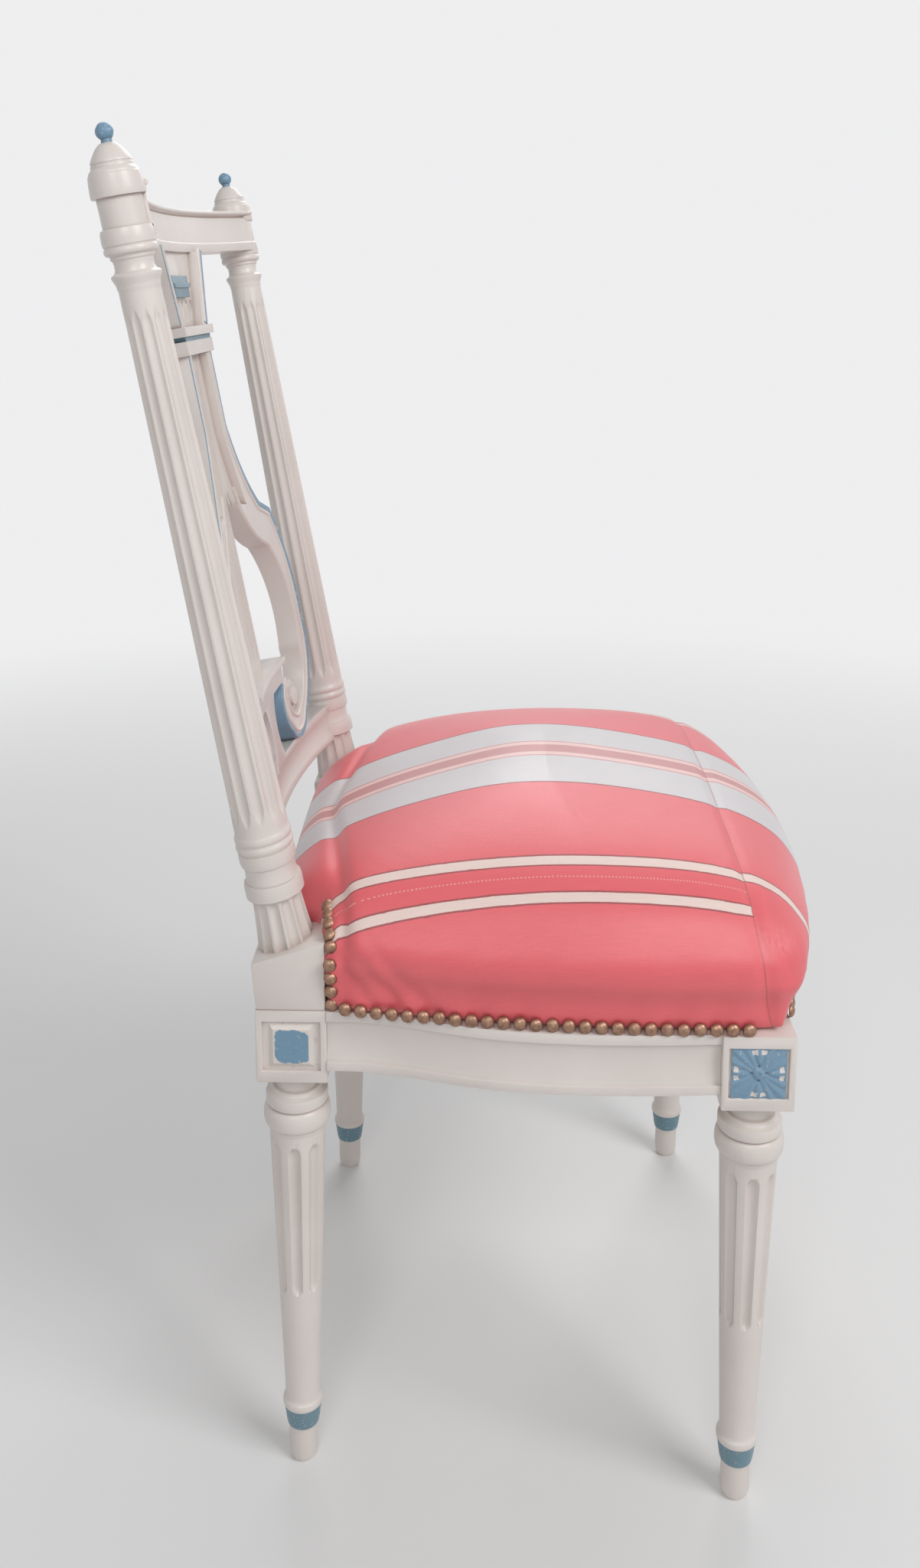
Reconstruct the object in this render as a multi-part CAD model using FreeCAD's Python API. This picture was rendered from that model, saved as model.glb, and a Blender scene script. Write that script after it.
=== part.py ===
"""Lyre back side chair with turned, fluted legs and an upholstered seat.

Millimetres, +Z up, +X to the sitter's left, the front of the chair toward -Y.
The origin is on the floor at the centre of the bounding box.
"""
import FreeCAD
import Part
import math
import os

V = FreeCAD.Vector
UP = V(0, 0, 1)

# Seat frame: leg centres, leg blocks and rails
FRONT_LEG_X = 205.1
REAR_LEG_X = 178.6
LEG_SPAN_Y = 328.7
FRAME_TOP = 386.2
BLOCK_SIDE = 51.2
BLOCK_HEIGHT = 56.0
RAIL_HEIGHT = 45.5
RAIL_THICKNESS = 24.0
RAIL_SETBACK = 1.5
TENON_THICKNESS = 9.0
TENON_HEIGHT = 28.0
TENON_LENGTH = 16.0
FRONT_BOW = 24.0
SIDE_REAR_DIP = 0.6
SIDE_MID_BOW = 9.2
SIDE_FRONT_BOW = 10.0

# Turned leg below the block; drops are measured down from the block
LEG_HEAD_DROP = 47.2
LEG_TORUS_R = 24.7
LEG_SHAFT_TOP_R = 20.7
LEG_SHAFT_LOW_R = 13.0
LEG_RING_Z = 52.4
LEG_RING_R = 15.2
LEG_FLUTES = 8
LEG_FLUTE_TOP_DROP = 58.2
LEG_FLUTE_REACH = 0.53
LEG_RIB_SHARE = 0.46
LEG_FLUTE_DEPTH = 0.15
FLUTE_RUN_OUT = 5.0

# Turned profiles, each point a share of the part's radius and a share of its height
LEG_FOOT = ((0, 0), (0.553, 0), (0.69, 0.06), (0.717, 0.229), (0.743, 0.573), (0.796, 0.573),
            (0.941, 0.905), (1, 0.924), (1, 1), (0.9, 1.06), (0, 1.06))
LEG_HEAD = ((0, 0), (0.879, 0), (0.879, 0.064), (0.97, 0.1), (1, 0.233), (0.96, 0.36),
            (0.915, 0.402), (0.866, 0.424), (0.915, 0.456), (0.915, 0.614), (0.713, 0.689),
            (0.623, 0.773), (0.607, 0.869), (0.607, 1), (0, 1))
FOOT_RINGS = ((0, 0), (1, 0), (1, 0.218), (0.877, 0.222), (0.858, 0.464), (0.962, 0.468),
              (0.962, 0.654), (0.915, 0.669), (0.986, 0.707), (0.986, 0.756), (0.915, 0.793),
              (0.976, 0.829), (0.976, 0.878), (0.915, 0.914), (0, 0.914))
CAPITAL = ((0, 0), (0.96, 0), (0.96, 0.17), (1.107, 0.284), (1.107, 0.321), (0.867, 0.367),
           (0.867, 0.528), (0.967, 0.551), (0.967, 0.606), (1.107, 0.619), (1.18, 0.651),
           (1.18, 0.706), (1.113, 0.739), (1.193, 0.766), (1.167, 0.986), (1, 1), (0, 1))
CAP = ((0, 0), (0.978, 0), (1, 0.108), (0.951, 0.757), (0.896, 0.805), (0.896, 0.87),
       (0.78, 1), (0, 1))

# Sunk squares on the leg blocks, with rosettes in front and raised panels behind
SUNK_SIDE = 38.0
SUNK_DEPTH = 3.0
ROSETTE_FLOOR = 1.2
ROSETTE_LIFT = 1.6
PETAL_HALF_WIDTH = 8.5
PETAL_REACH = 1.26
BUTTON_R = 4.6
PANEL_SIDE = 27.0
PANEL_BEVEL = 2.2
PANEL_SETBACK = 0.6

# Rear post above the seat frame; heights named S run along the lean, from the foot ring up
BACK_LEAN = 10.26
POST_SPLAY = 2.587
FOOT_RING_Z = 475.6
LEAN_START_HEIGHT = 8.2
UPPER_BLOCK_SIDE = 49.6
UPPER_BLOCK_FRONT_SHARE = 0.568
UPPER_BLOCK_BACK_SHARE = 0.389
UPPER_BLOCK_SLANT = 3.0
POST_BASE_R = 21.5
POST_BASE_TOP_R = 17.5
FOOT_RING_R = 21.1
FOOT_RING_DEPTH = 10.2
POST_SHAFT_LOW_R = 19.3
POST_SHAFT_TOP_R = 13.9
POST_SHAFT_LOW_S = 43.0
POST_FLUTES = 12
POST_RIB_SHARE = 0.31
POST_FLUTE_DEPTH = 0.125
NECK_R = 15.0
CAP_R = 18.2
CAPITAL_HEIGHT = 43.6
CAPITAL_TO_CREST = 36.0
CAP_BELOW_CREST_TOP = 7.9
CAP_HEIGHT = 18.5
FINIAL_DOWEL_R = 4.0
FINIAL_DOWEL_LENGTH = 15.0
DOME_HEIGHT = 15.4
BALL_R = 5.9

# Bowed rails of the back, concave toward the sitter
BACK_BOW_RADIUS = 548.5
BACK_BOW_DEPTH = 18.5
CREST_TOP_S = 492.4
CREST_HEIGHT = 35.4
CREST_THICKNESS = 18.0
CREST_BEAD = 3.6
CREST_SINK = 1.2
CREST_BORDER = 8.0
LOWER_RAIL_LOW_S = -12.0
LOWER_RAIL_HEIGHT = 34.5
LOWER_RAIL_THICKNESS = 20.0
LOWER_RAIL_FILLET = 5.0
LOWER_RAIL_HOLLOW = 3.2
RAIL_CLEARANCE = 0.4
BACK_TENON_DEPTH = 8.0
BACK_TENON_ROOT = 5.0
BACK_TENON_THICKNESS = 7.0
BACK_TENON_SHOULDER = 6.0

# Lyre
LYRE_PROUD = 4.0
LYRE_THICKNESS = 18.0
LYRE_RECESS = 7.0
LYRE_HALF_WIDTH = 132.5
LYRE_TENON_DEPTH = 9.0
LYRE_TENON_THICKNESS = 7.0
HEAD_TOP_HALF = 72.0
HEAD_LOW_HALF = 50.0
HEAD_HEIGHT = 61.0
HEAD_BORDER = 13.0
HEAD_GROOVES = 7
HEAD_GROOVE_HALF = 2.4
COLLAR_HEIGHT = 22.0
COLLAR_STEP = 3.0
NECK_HALF = 43.0
ARM_BORDER = 12.0
STRINGS_TOP_HALF = 20.0
STRINGS_LOW_HALF = 25.0
STRINGS_THICKNESS = 9.0
STRING_GROOVES = 5
STRING_GROOVE_HALF = 2.8
PLINTH_RISE = 57.5
PLINTH_HEIGHT = 21.0
PLINTH_HALF = 60.0
PLINTH_LIP = 4.0
PEDESTAL_HALF = 24.0
SCROLL_EYE_R = 8.0
SCROLL_WEB_R = 15.2
SCROLL_WEB_SINK = 4.0

# Outlines of the lyre's arm and ornament: shares of the half width and of the height
ARM_WAIST = 0.824
ARM_FLARE = ((0.453, 0.716), (0.664, 0.610))
ARM_CUSP = (0.823, 0.582)
ARM_BELLY = ((0.989, 0.391), (1.0, 0.277))
ARM_HEEL = ((0.936, 0.124), (0.755, 0.034))
ARM_SOLE = ((0.589, -0.003), (0.408, 0.034))
ARM_CURL = (0.309, 0.102)
ARM_TOP_LAP = 0.377
ARM_INNER_LAP = 0.483
ARM_INNER_CURL = ((0.457, 0.107), (0.589, 0.060))
ARM_INNER_HEEL = ((0.762, 0.101), (0.845, 0.209))
ARM_INNER_BELLY = ((0.838, 0.386), (0.664, 0.496))
ARM_INNER_SHOULDER = (0.392, 0.559)
ARM_SHOULDER = 0.670
SUNK_WAIST = 0.807
SUNK_FLARE = ((0.332, 0.698), (0.423, 0.619))
SUNK_POINT = 0.647
SCROLL_EYE_AT = (0.589, 0.105)
HEAD_PLATE = ((0.375, 0.672), (0.347, 0.393))
HEAD_BAND = ((0.396, 0.574), (0.389, 0.516))

# Corner blocks and their screws
CORNER_BLOCK_REACH = 82.0
CORNER_BLOCK_HEIGHT = 30.0
SCREW_R = 2.2
SCREW_HEAD_R = 4.2
SCREW_HEAD_DEPTH = 3.0
SCREW_LENGTH = 42.0

# Upholstery
STRAP_WIDTH = 45.0
STRAP_THICKNESS = 1.4
STRAPS_EACH_WAY = 3
STRAP_FOLD = 14.0
HESSIAN_THICKNESS = 1.0
HESSIAN_MARGIN = 12.0
SKIRT_INSET = 2.0
CROWN_TO_RAIL_GAP = 1.66
NAIL_R = 4.9
NAIL_HEIGHT = 3.4
NAIL_FLAT = 0.55
NAIL_PITCH = 11.3
NAIL_SIDES = 6
NAIL_RISE = 0.9

# Worked out from the sizes above
HALF_BLOCK = BLOCK_SIDE / 2
BLOCK_LOW_Z = FRAME_TOP - BLOCK_HEIGHT
RAIL_LOW_Z = FRAME_TOP - RAIL_HEIGHT
FRONT_Y = -LEG_SPAN_Y
LEG_SHAFT_TOP_Z = BLOCK_LOW_Z - LEG_HEAD_DROP
LEG_SHAFT_LOW_Z = LEG_RING_Z * LEG_FOOT[-1][1]
LEG_FLUTE_TOP_Z = BLOCK_LOW_Z - LEG_FLUTE_TOP_DROP
LEG_FLUTE_LOW_Z = LEG_FLUTE_REACH * LEG_SHAFT_TOP_Z
LEAN_TAN = math.tan(math.radians(BACK_LEAN))
LEAN_COS = math.cos(math.radians(BACK_LEAN))
RING_ABOVE_FRAME = FOOT_RING_Z - FRAME_TOP
BACK_Y = (RING_ABOVE_FRAME - LEAN_START_HEIGHT) * LEAN_TAN
UPPER_BLOCK_FRONT_Z = FRAME_TOP + UPPER_BLOCK_FRONT_SHARE * RING_ABOVE_FRAME
UPPER_BLOCK_BACK_Z = FRAME_TOP + UPPER_BLOCK_BACK_SHARE * RING_ABOVE_FRAME
POST_BASE_LOW_S = (UPPER_BLOCK_BACK_Z - FOOT_RING_Z) / LEAN_COS
CREST_LOW_S = CREST_TOP_S - CREST_HEIGHT
POST_SHAFT_TOP_S = CREST_LOW_S - CAPITAL_TO_CREST
CAPITAL_LOW_S = POST_SHAFT_TOP_S + CAPITAL[2][1] * CAPITAL_HEIGHT
CAP_LOW_S = CREST_TOP_S - CAP_BELOW_CREST_TOP
CAP_TOP_S = CAP_LOW_S + CAP_HEIGHT
LOWER_RAIL_TOP_S = LOWER_RAIL_LOW_S + LOWER_RAIL_HEIGHT
HEAD_LOW_S = CREST_LOW_S - HEAD_HEIGHT
COLLAR_LOW_S = HEAD_LOW_S - COLLAR_HEIGHT
PLINTH_LOW_S = LOWER_RAIL_TOP_S + PLINTH_RISE
PLINTH_TOP_S = PLINTH_LOW_S + PLINTH_HEIGHT
LYRE_HEIGHT = COLLAR_LOW_S - LOWER_RAIL_TOP_S
LYRE_FRONT = -LYRE_PROUD
LYRE_BACK = LYRE_THICKNESS - LYRE_PROUD
GROUND = LYRE_FRONT + LYRE_RECESS
BOW_CENTRE = BACK_BOW_DEPTH - BACK_BOW_RADIUS
SEAT_MARGIN = RAIL_SETBACK + SKIRT_INSET
SEAT_HALF_WIDTH = REAR_LEG_X + HALF_BLOCK - SEAT_MARGIN
SEAT_DEPTH = LEG_SPAN_Y + BLOCK_SIDE - 2 * SEAT_MARGIN
LOWER_RAIL_GAP = RING_ABOVE_FRAME + LOWER_RAIL_LOW_S * LEAN_COS
CUSHION_CROWN = CROWN_TO_RAIL_GAP * LOWER_RAIL_GAP


def moved(shape, x=0.0, y=0.0, z=0.0):
    placed = shape.copy()
    placed.translate(V(x, y, z))
    return placed


def rotated(axis, angle, shape):
    placed = shape.copy()
    placed.rotate(V(0, 0, 0), axis, angle)
    return placed


def mirrored(shape):
    return shape.mirror(V(0, 0, 0), V(1, 0, 0))


def box(x0, x1, y0, y1, z0, z1):
    return Part.makeBox(x1 - x0, y1 - y0, z1 - z0, V(x0, y0, z0))


def outline(steps):
    """Closed wire from points; a pair of points in the list is an arc through the first."""
    edges = []
    here = steps[0]
    for step in steps[1:] + [steps[0]]:
        if isinstance(step, tuple):
            edges.append(Part.Arc(here, step[0], step[1]).toShape())
            here = step[1]
        elif here.distanceToPoint(step) > 0:
            edges.append(Part.makeLine(here, step))
            here = step
    return Part.Wire(edges)


def revolved(profile):
    """Turned solid from (radius, height) pairs; a nested pair of pairs is an arc."""
    steps = []
    for item in profile:
        if isinstance(item[0], tuple):
            steps.append(tuple(V(r, 0, z) for r, z in item))
        else:
            steps.append(V(item[0], 0, item[1]))
    return Part.Face(outline(steps)).revolve(V(0, 0, 0), UP, 360)


def plate(steps, direction):
    return Part.Face(outline(steps)).extrude(direction)


def faceted(faces):
    """Solid with flat sides, from the corner points of each side."""
    shell = Part.Shell([Part.Face(outline(corners)) for corners in faces])
    shell.sewShape()
    solid = Part.Solid(shell)
    return solid if solid.Volume > 0 else solid.reversed()


def pointed_bar(low, high, half_low, half_high, tip):
    """Four-sided bar set on edge, thick from low to high, with a point at each end."""
    length = high.sub(low).Length
    corners = [(1, 0), (0, 1), (-1, 0), (0, -1)]
    below = [V(x * half_low, y * half_low, 0) for x, y in corners]
    above = [V(x * half_high, y * half_high, length) for x, y in corners]
    start = V(0, 0, -tip)
    end = V(0, 0, length + tip)
    faces = []
    for k in range(len(corners)):
        faces.append([below[k - 1], below[k], above[k], above[k - 1]])
        faces.append([start, below[k], below[k - 1]])
        faces.append([end, above[k - 1], above[k]])
    bar = faceted(faces)
    bar.Placement = FreeCAD.Placement(low, FreeCAD.Rotation(UP, high.sub(low)))
    return bar


def scaled_profile(shares, radius, low, high):
    """Turned profile from shares of a radius and of the height between low and high."""
    return [(radius * across, low + (high - low) * up) for across, up in shares]


def fluted_section(z, radius, count, rib_share, depth):
    """Closed round section of ribs with hollows between them; no depth leaves it plain."""
    step = math.tau / count
    rib = step * rib_share / 2

    def at(r, angle):
        return V(r * math.cos(angle), r * math.sin(angle), z)

    edges = []
    for k in range(count):
        turn = k * step
        flute = at(radius - depth, turn + step / 2)
        edges.append(Part.makeLine(at(radius, turn - rib), at(radius, turn + rib)))
        edges.append(Part.Arc(at(radius, turn + rib), flute, at(radius, turn + step - rib)).toShape())
    return Part.Wire(edges)


def fluted_shaft(stations, count, rib_share, depth_share):
    """Loft through (height, radius, fluted or not) stations."""
    sections = []
    for z, radius, hollow in stations:
        depth = radius * depth_share if hollow else 0
        sections.append(fluted_section(z, radius, count, rib_share, depth))
    return Part.makeLoft(sections, True, True)


def radius_at(z, low, high):
    """Radius of a straight taper between two (height, radius) ends."""
    share = (z - low[0]) / (high[0] - low[0])
    return low[1] + share * (high[1] - low[1])


def shaft_stations(low, high, flute_low, flute_high):
    """Stations of a tapered shaft whose flutes run out before both ends."""
    marks = ((low[0], False), (flute_low, False), (flute_low + FLUTE_RUN_OUT, True),
             (flute_high - FLUTE_RUN_OUT, True), (flute_high, False), (high[0], False))
    return [(z, radius_at(z, low, high), hollow) for z, hollow in marks]


def in_back(shape):
    """From back axes (x, behind, along the lean) to the chair's axes."""
    return moved(rotated(V(1, 0, 0), -BACK_LEAN, shape), y=BACK_Y, z=FOOT_RING_Z)


def on_post(shape, side):
    """From a post's own axis to the back axes."""
    return moved(rotated(V(0, 1, 0), side * POST_SPLAY, shape), x=side * REAR_LEG_X)


# Turned legs

def turned_leg():
    """Round leg on the Z axis: toe, ring, fluted shaft, torus, collar and neck."""
    foot = revolved(scaled_profile(LEG_FOOT, LEG_RING_R, 0, LEG_RING_Z))
    head = revolved(scaled_profile(LEG_HEAD, LEG_TORUS_R, LEG_SHAFT_TOP_Z, BLOCK_LOW_Z))
    shaft = fluted_shaft(
        shaft_stations((LEG_SHAFT_LOW_Z, LEG_SHAFT_LOW_R), (LEG_SHAFT_TOP_Z, LEG_SHAFT_TOP_R),
                       LEG_FLUTE_LOW_Z, LEG_FLUTE_TOP_Z),
        LEG_FLUTES, LEG_RIB_SHARE, LEG_FLUTE_DEPTH)
    return shaft.fuse([foot, head])


def leg_block(centre_x, centre_y, sunk_y):
    """Square block with a sunk square on its outer side and on its front or back."""
    block = box(centre_x - HALF_BLOCK, centre_x + HALF_BLOCK,
                centre_y - HALF_BLOCK, centre_y + HALF_BLOCK, BLOCK_LOW_Z, FRAME_TOP)
    return block.cut(sunk_square(centre_x, centre_y, sunk_y))


def face_places(centre_x, centre_y, sunk_y):
    """Centres of the two ornamented faces, with the turn that brings -Y onto each."""
    mid_z = BLOCK_LOW_Z + BLOCK_HEIGHT / 2
    return ((V(centre_x + HALF_BLOCK, centre_y, mid_z), 90.0),
            (V(centre_x, centre_y + sunk_y * HALF_BLOCK, mid_z), 0.0 if sunk_y < 0 else 180.0))


def on_faces(shape, centre_x, centre_y, sunk_y):
    """Copies of an ornament drawn at the origin, facing -Y, on both faces of a block."""
    copies = []
    for place, turn in face_places(centre_x, centre_y, sunk_y):
        copies.append(moved(rotated(UP, turn, shape), place.x, place.y, place.z))
    return Part.makeCompound(copies)


def sunk_square(centre_x, centre_y, sunk_y):
    half = SUNK_SIDE / 2
    return on_faces(box(-half, half, 0, SUNK_DEPTH, -half, half), centre_x, centre_y, sunk_y)


def rosette():
    """Four-petalled flower on a thin square, sunk behind the block's face."""
    half = SUNK_SIDE / 2
    floor = SUNK_DEPTH - ROSETTE_FLOOR
    ground = box(-half, half, floor, SUNK_DEPTH, -half, half)
    petals = [rotated(V(0, 1, 0), turn, petal(half, floor)) for turn in (45, 135, 225, 315)]
    button = Part.makeCone(BUTTON_R, BUTTON_R / 2, floor, V(0, floor, 0), V(0, -1, 0))
    return ground.fuse(petals + [button])


def petal(half, floor):
    """Low pyramid on a kite-shaped base that points up."""
    bed = floor + ROSETTE_FLOOR / 2
    base = [V(0, bed, 0), V(PETAL_HALF_WIDTH, bed, half / 2), V(0, bed, half * PETAL_REACH),
            V(-PETAL_HALF_WIDTH, bed, half / 2)]
    crown = V(0, floor - ROSETTE_LIFT, half / 2)
    return faceted([base] + [[base[k - 1], base[k], crown] for k in range(len(base))])


def raised_panel():
    """Flat square with a bevelled edge, sunk behind the block's face."""
    def square(half, y):
        return [V(-half, y, -half), V(half, y, -half), V(half, y, half), V(-half, y, half)]

    base = square(PANEL_SIDE / 2, SUNK_DEPTH)
    crown = square(PANEL_SIDE / 2 - PANEL_BEVEL, PANEL_SETBACK)
    return faceted([base, crown] + [[base[k - 1], base[k], crown[k], crown[k - 1]] for k in range(4)])


# Rear posts

def fluted_base():
    """Flared foot of the post, let into the upper block, with short flutes."""
    marks = ((0, False), (0.18, False), (0.3, True), (0.62, True), (0.85, True), (1, False))
    top_s = -FOOT_RING_DEPTH
    stations = []
    for share, hollow in marks:
        z = POST_BASE_LOW_S + share * (top_s - POST_BASE_LOW_S)
        flare = (1 - share) ** 1.5
        stations.append((z, POST_BASE_TOP_R + flare * (POST_BASE_R - POST_BASE_TOP_R), hollow))
    return fluted_shaft(stations, POST_FLUTES, POST_RIB_SHARE, POST_FLUTE_DEPTH)


def post_shaft():
    return fluted_shaft(
        shaft_stations((POST_SHAFT_LOW_S - FLUTE_RUN_OUT, POST_SHAFT_LOW_R),
                       (CAPITAL_LOW_S, POST_SHAFT_TOP_R),
                       POST_SHAFT_LOW_S + FLUTE_RUN_OUT, POST_SHAFT_TOP_S - 2 * FLUTE_RUN_OUT),
        POST_FLUTES, POST_RIB_SHARE, POST_FLUTE_DEPTH)


def post_mouldings():
    """Foot rings, capital, square-shouldered neck and cap, as turned pieces on one axis."""
    neck_low = POST_SHAFT_TOP_S + CAPITAL_HEIGHT
    return [
        revolved(scaled_profile(FOOT_RINGS, FOOT_RING_R, -FOOT_RING_DEPTH, POST_SHAFT_LOW_S)),
        revolved(scaled_profile(CAPITAL[2:-1] + ((0, 1), (0, CAPITAL[2][1])), NECK_R,
                                POST_SHAFT_TOP_S, neck_low)),
        Part.makeCylinder(NECK_R, CAP_LOW_S - neck_low, V(0, 0, neck_low)),
        revolved(scaled_profile(CAP, CAP_R, CAP_LOW_S, CAP_TOP_S))]


def post_room():
    """What the bowed rails are cut back to: the turned mouldings and the plain top of the base."""
    base = Part.makeCylinder(POST_BASE_TOP_R + RAIL_CLEARANCE, FOOT_RING_DEPTH,
                             V(0, 0, -2 * FOOT_RING_DEPTH))
    return Part.makeCompound(post_mouldings() + [base])


def fluted_post():
    """Post with flutes on its shaft and its flared base, and a dowel hole on top."""
    post = post_shaft().fuse([fluted_base()] + post_mouldings())
    hole = Part.makeCylinder(FINIAL_DOWEL_R, FINIAL_DOWEL_LENGTH,
                             V(0, 0, CAP_TOP_S - FINIAL_DOWEL_LENGTH))
    return post.cut(hole)


def upper_block():
    """Plain block between the seat frame and the fluted base, its top sloping to the rear."""
    half = UPPER_BLOCK_SIDE / 2
    side = [V(-half, -half, FRAME_TOP), V(-half, half, FRAME_TOP),
            V(-half, half + UPPER_BLOCK_SLANT, UPPER_BLOCK_BACK_Z),
            V(-half, -half, UPPER_BLOCK_FRONT_Z)]
    return moved(plate(side, V(UPPER_BLOCK_SIDE, 0, 0)), x=REAR_LEG_X)


def rear_post(mortises):
    """Leg, block, upper block and leaning fluted post, turned and sawn from one stile."""
    leg = moved(turned_leg(), x=REAR_LEG_X)
    block = leg_block(REAR_LEG_X, 0, 1)
    leaning = in_back(on_post(fluted_post(), 1))
    stile = leaning.fuse([upper_block(), block, leg])
    return stile.cut(mortises)


def finial():
    """Domed cap with a small ball, dowelled into the top of a post."""
    rim_r = CAP_R * 0.77
    top_r = BALL_R * 0.85
    neck_r = BALL_R * 0.6
    dome_top = CAP_TOP_S + DOME_HEIGHT
    ball_z = dome_top + 1.2 * BALL_R
    waist = math.sqrt(BALL_R ** 2 - neck_r ** 2)
    return revolved([
        (0, CAP_TOP_S - FINIAL_DOWEL_LENGTH), (FINIAL_DOWEL_R, CAP_TOP_S - FINIAL_DOWEL_LENGTH),
        (FINIAL_DOWEL_R, CAP_TOP_S), (rim_r, CAP_TOP_S),
        (rim_r, CAP_TOP_S + DOME_HEIGHT / 8), (rim_r * 0.94, CAP_TOP_S + DOME_HEIGHT / 5),
        ((rim_r * 0.75, CAP_TOP_S + DOME_HEIGHT * 0.62), (top_r, dome_top)),
        (neck_r, dome_top), (neck_r, ball_z - waist),
        ((BALL_R, ball_z), (0, ball_z + BALL_R))])


# Bowed rails of the back

def bowed_sector(front, back, s_low, s_high, half_x):
    """Curved slab between two radii of the back's bow, as wide as half_x each way."""
    return bowed_moulding([V(front, 0, s_low), V(back, 0, s_low),
                           V(back, 0, s_high), V(front, 0, s_high)], half_x)


def bowed_moulding(section, half_x):
    """Sweep a section, drawn at radius x and height z, round the back's bow."""
    half_angle = math.degrees(math.asin(half_x / BACK_BOW_RADIUS))
    swept = Part.Face(outline(section)).revolve(V(0, 0, 0), UP, 2 * half_angle)
    return moved(rotated(UP, 90 - half_angle, swept), y=BOW_CENTRE)


def crest_rail(posts):
    """Concave top rail with a bead, a groove, a sunk panel and a lower border."""
    r = BACK_BOW_RADIUS
    back = r + CREST_THICKNESS
    low = CREST_LOW_S
    top = CREST_TOP_S
    panel_top = top - 1.7 * CREST_BEAD
    section = [
        V(r, 0, low), V(back, 0, low), V(back, 0, top - CREST_BEAD / 2),
        V(back - CREST_BEAD, 0, top), V(r, 0, top),
        V(r - CREST_BEAD / 2, 0, top - CREST_BEAD / 4), V(r - CREST_BEAD / 2, 0, top - CREST_BEAD * 3 / 4),
        V(r, 0, top - CREST_BEAD),
        V(r + 2 * CREST_SINK, 0, panel_top + CREST_SINK), V(r + CREST_SINK, 0, panel_top),
        V(r + CREST_SINK, 0, low + CREST_BORDER), V(r, 0, low + CREST_BORDER - CREST_SINK)]
    return bowed_moulding(section, REAR_LEG_X + CAP_R).cut(posts)


def lower_rail(posts):
    """Concave lower rail with a broad hollow between two fillets."""
    r = BACK_BOW_RADIUS
    back = r + LOWER_RAIL_THICKNESS
    low = LOWER_RAIL_LOW_S
    top = LOWER_RAIL_TOP_S
    section = [
        V(r, 0, low), V(back, 0, low), V(back, 0, top), V(r, 0, top), V(r, 0, top - LOWER_RAIL_FILLET),
        (V(r + LOWER_RAIL_HOLLOW, 0, (low + top) / 2), V(r, 0, low + LOWER_RAIL_FILLET))]
    return bowed_moulding(section, REAR_LEG_X).cut(posts)


def back_tongue(low, high, post_r, thickness):
    """Tongue on the +X end of a bowed rail, let into the post."""
    post_x = REAR_LEG_X + math.tan(math.radians(POST_SPLAY)) * (low + high) / 2
    mid_v = bow_at(post_x - post_r) + thickness / 2
    return box(post_x - post_r - BACK_TENON_ROOT, post_x - post_r + BACK_TENON_DEPTH,
               mid_v - BACK_TENON_THICKNESS / 2, mid_v + BACK_TENON_THICKNESS / 2,
               low + BACK_TENON_SHOULDER, high - BACK_TENON_SHOULDER)


def back_tongues():
    """Both tongues drawn for +X: the crest rail's and the lower rail's."""
    return (back_tongue(CREST_LOW_S, CREST_TOP_S, NECK_R, CREST_THICKNESS),
            back_tongue(LOWER_RAIL_LOW_S, LOWER_RAIL_TOP_S, FOOT_RING_R, LOWER_RAIL_THICKNESS))


# Lyre

def bow_at(x):
    """How far behind the post axes the rails' face lies at x."""
    return BOW_CENTRE + math.sqrt(BACK_BOW_RADIUS ** 2 - x ** 2)


def lyre_slab(front, back):
    """Bowed board, front and back measured behind the rails' face."""
    r = BACK_BOW_RADIUS
    return bowed_sector(r + front, r + back, LOWER_RAIL_LOW_S, CREST_TOP_S, REAR_LEG_X)


def sawn(points, front, back):
    """Outline in the plane of the back, sawn from the bowed board."""
    deep = 4 * BACK_BOW_DEPTH
    steps = []
    for item in points:
        if isinstance(item[0], tuple):
            steps.append(tuple(V(x, -deep, s) for x, s in item))
        else:
            steps.append(V(item[0], -deep, item[1]))
    return plate(steps, V(0, 2 * deep, 0)).common(lyre_slab(front, back))


def symmetric(half_points):
    """Close a right-hand outline, listed from top to bottom, with its mirror image."""
    return half_points + [(-x, s) for x, s in reversed(half_points)]


def on_head(shares):
    """Half outline on the head, from shares of its top half width and of its height."""
    return symmetric([(across * HEAD_TOP_HALF, HEAD_LOW_S + up * HEAD_HEIGHT) for across, up in shares])


def lyre_head():
    """Tapered head with raised borders, a fluted ground and the collar mouldings."""
    inner_top = HEAD_TOP_HALF - HEAD_BORDER
    inner_low = HEAD_LOW_HALF - HEAD_BORDER
    body = sawn(symmetric([(HEAD_TOP_HALF, CREST_LOW_S), (HEAD_LOW_HALF, HEAD_LOW_S)]),
                LYRE_FRONT, LYRE_BACK)
    ground = sawn(symmetric([(inner_top, CREST_LOW_S), (inner_low, HEAD_LOW_S)]),
                  LYRE_FRONT - LYRE_PROUD, GROUND)
    tenon_half = HEAD_LOW_HALF * 0.6
    tenon = sawn(symmetric([(tenon_half, CREST_LOW_S + LYRE_TENON_DEPTH), (tenon_half, CREST_LOW_S)]),
                 LYRE_PROUD, LYRE_PROUD + LYRE_TENON_THICKNESS)
    label = sawn(on_head(HEAD_PLATE), LYRE_FRONT + LYRE_RECESS / 3, GROUND)
    band = sawn(on_head(HEAD_BAND), LYRE_FRONT + LYRE_RECESS / 7, GROUND)
    head = body.cut(ground).fuse(collar() + [tenon, label, band]).removeSplitter()
    return head.cut(head_grooves(inner_low + inner_top))


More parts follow.
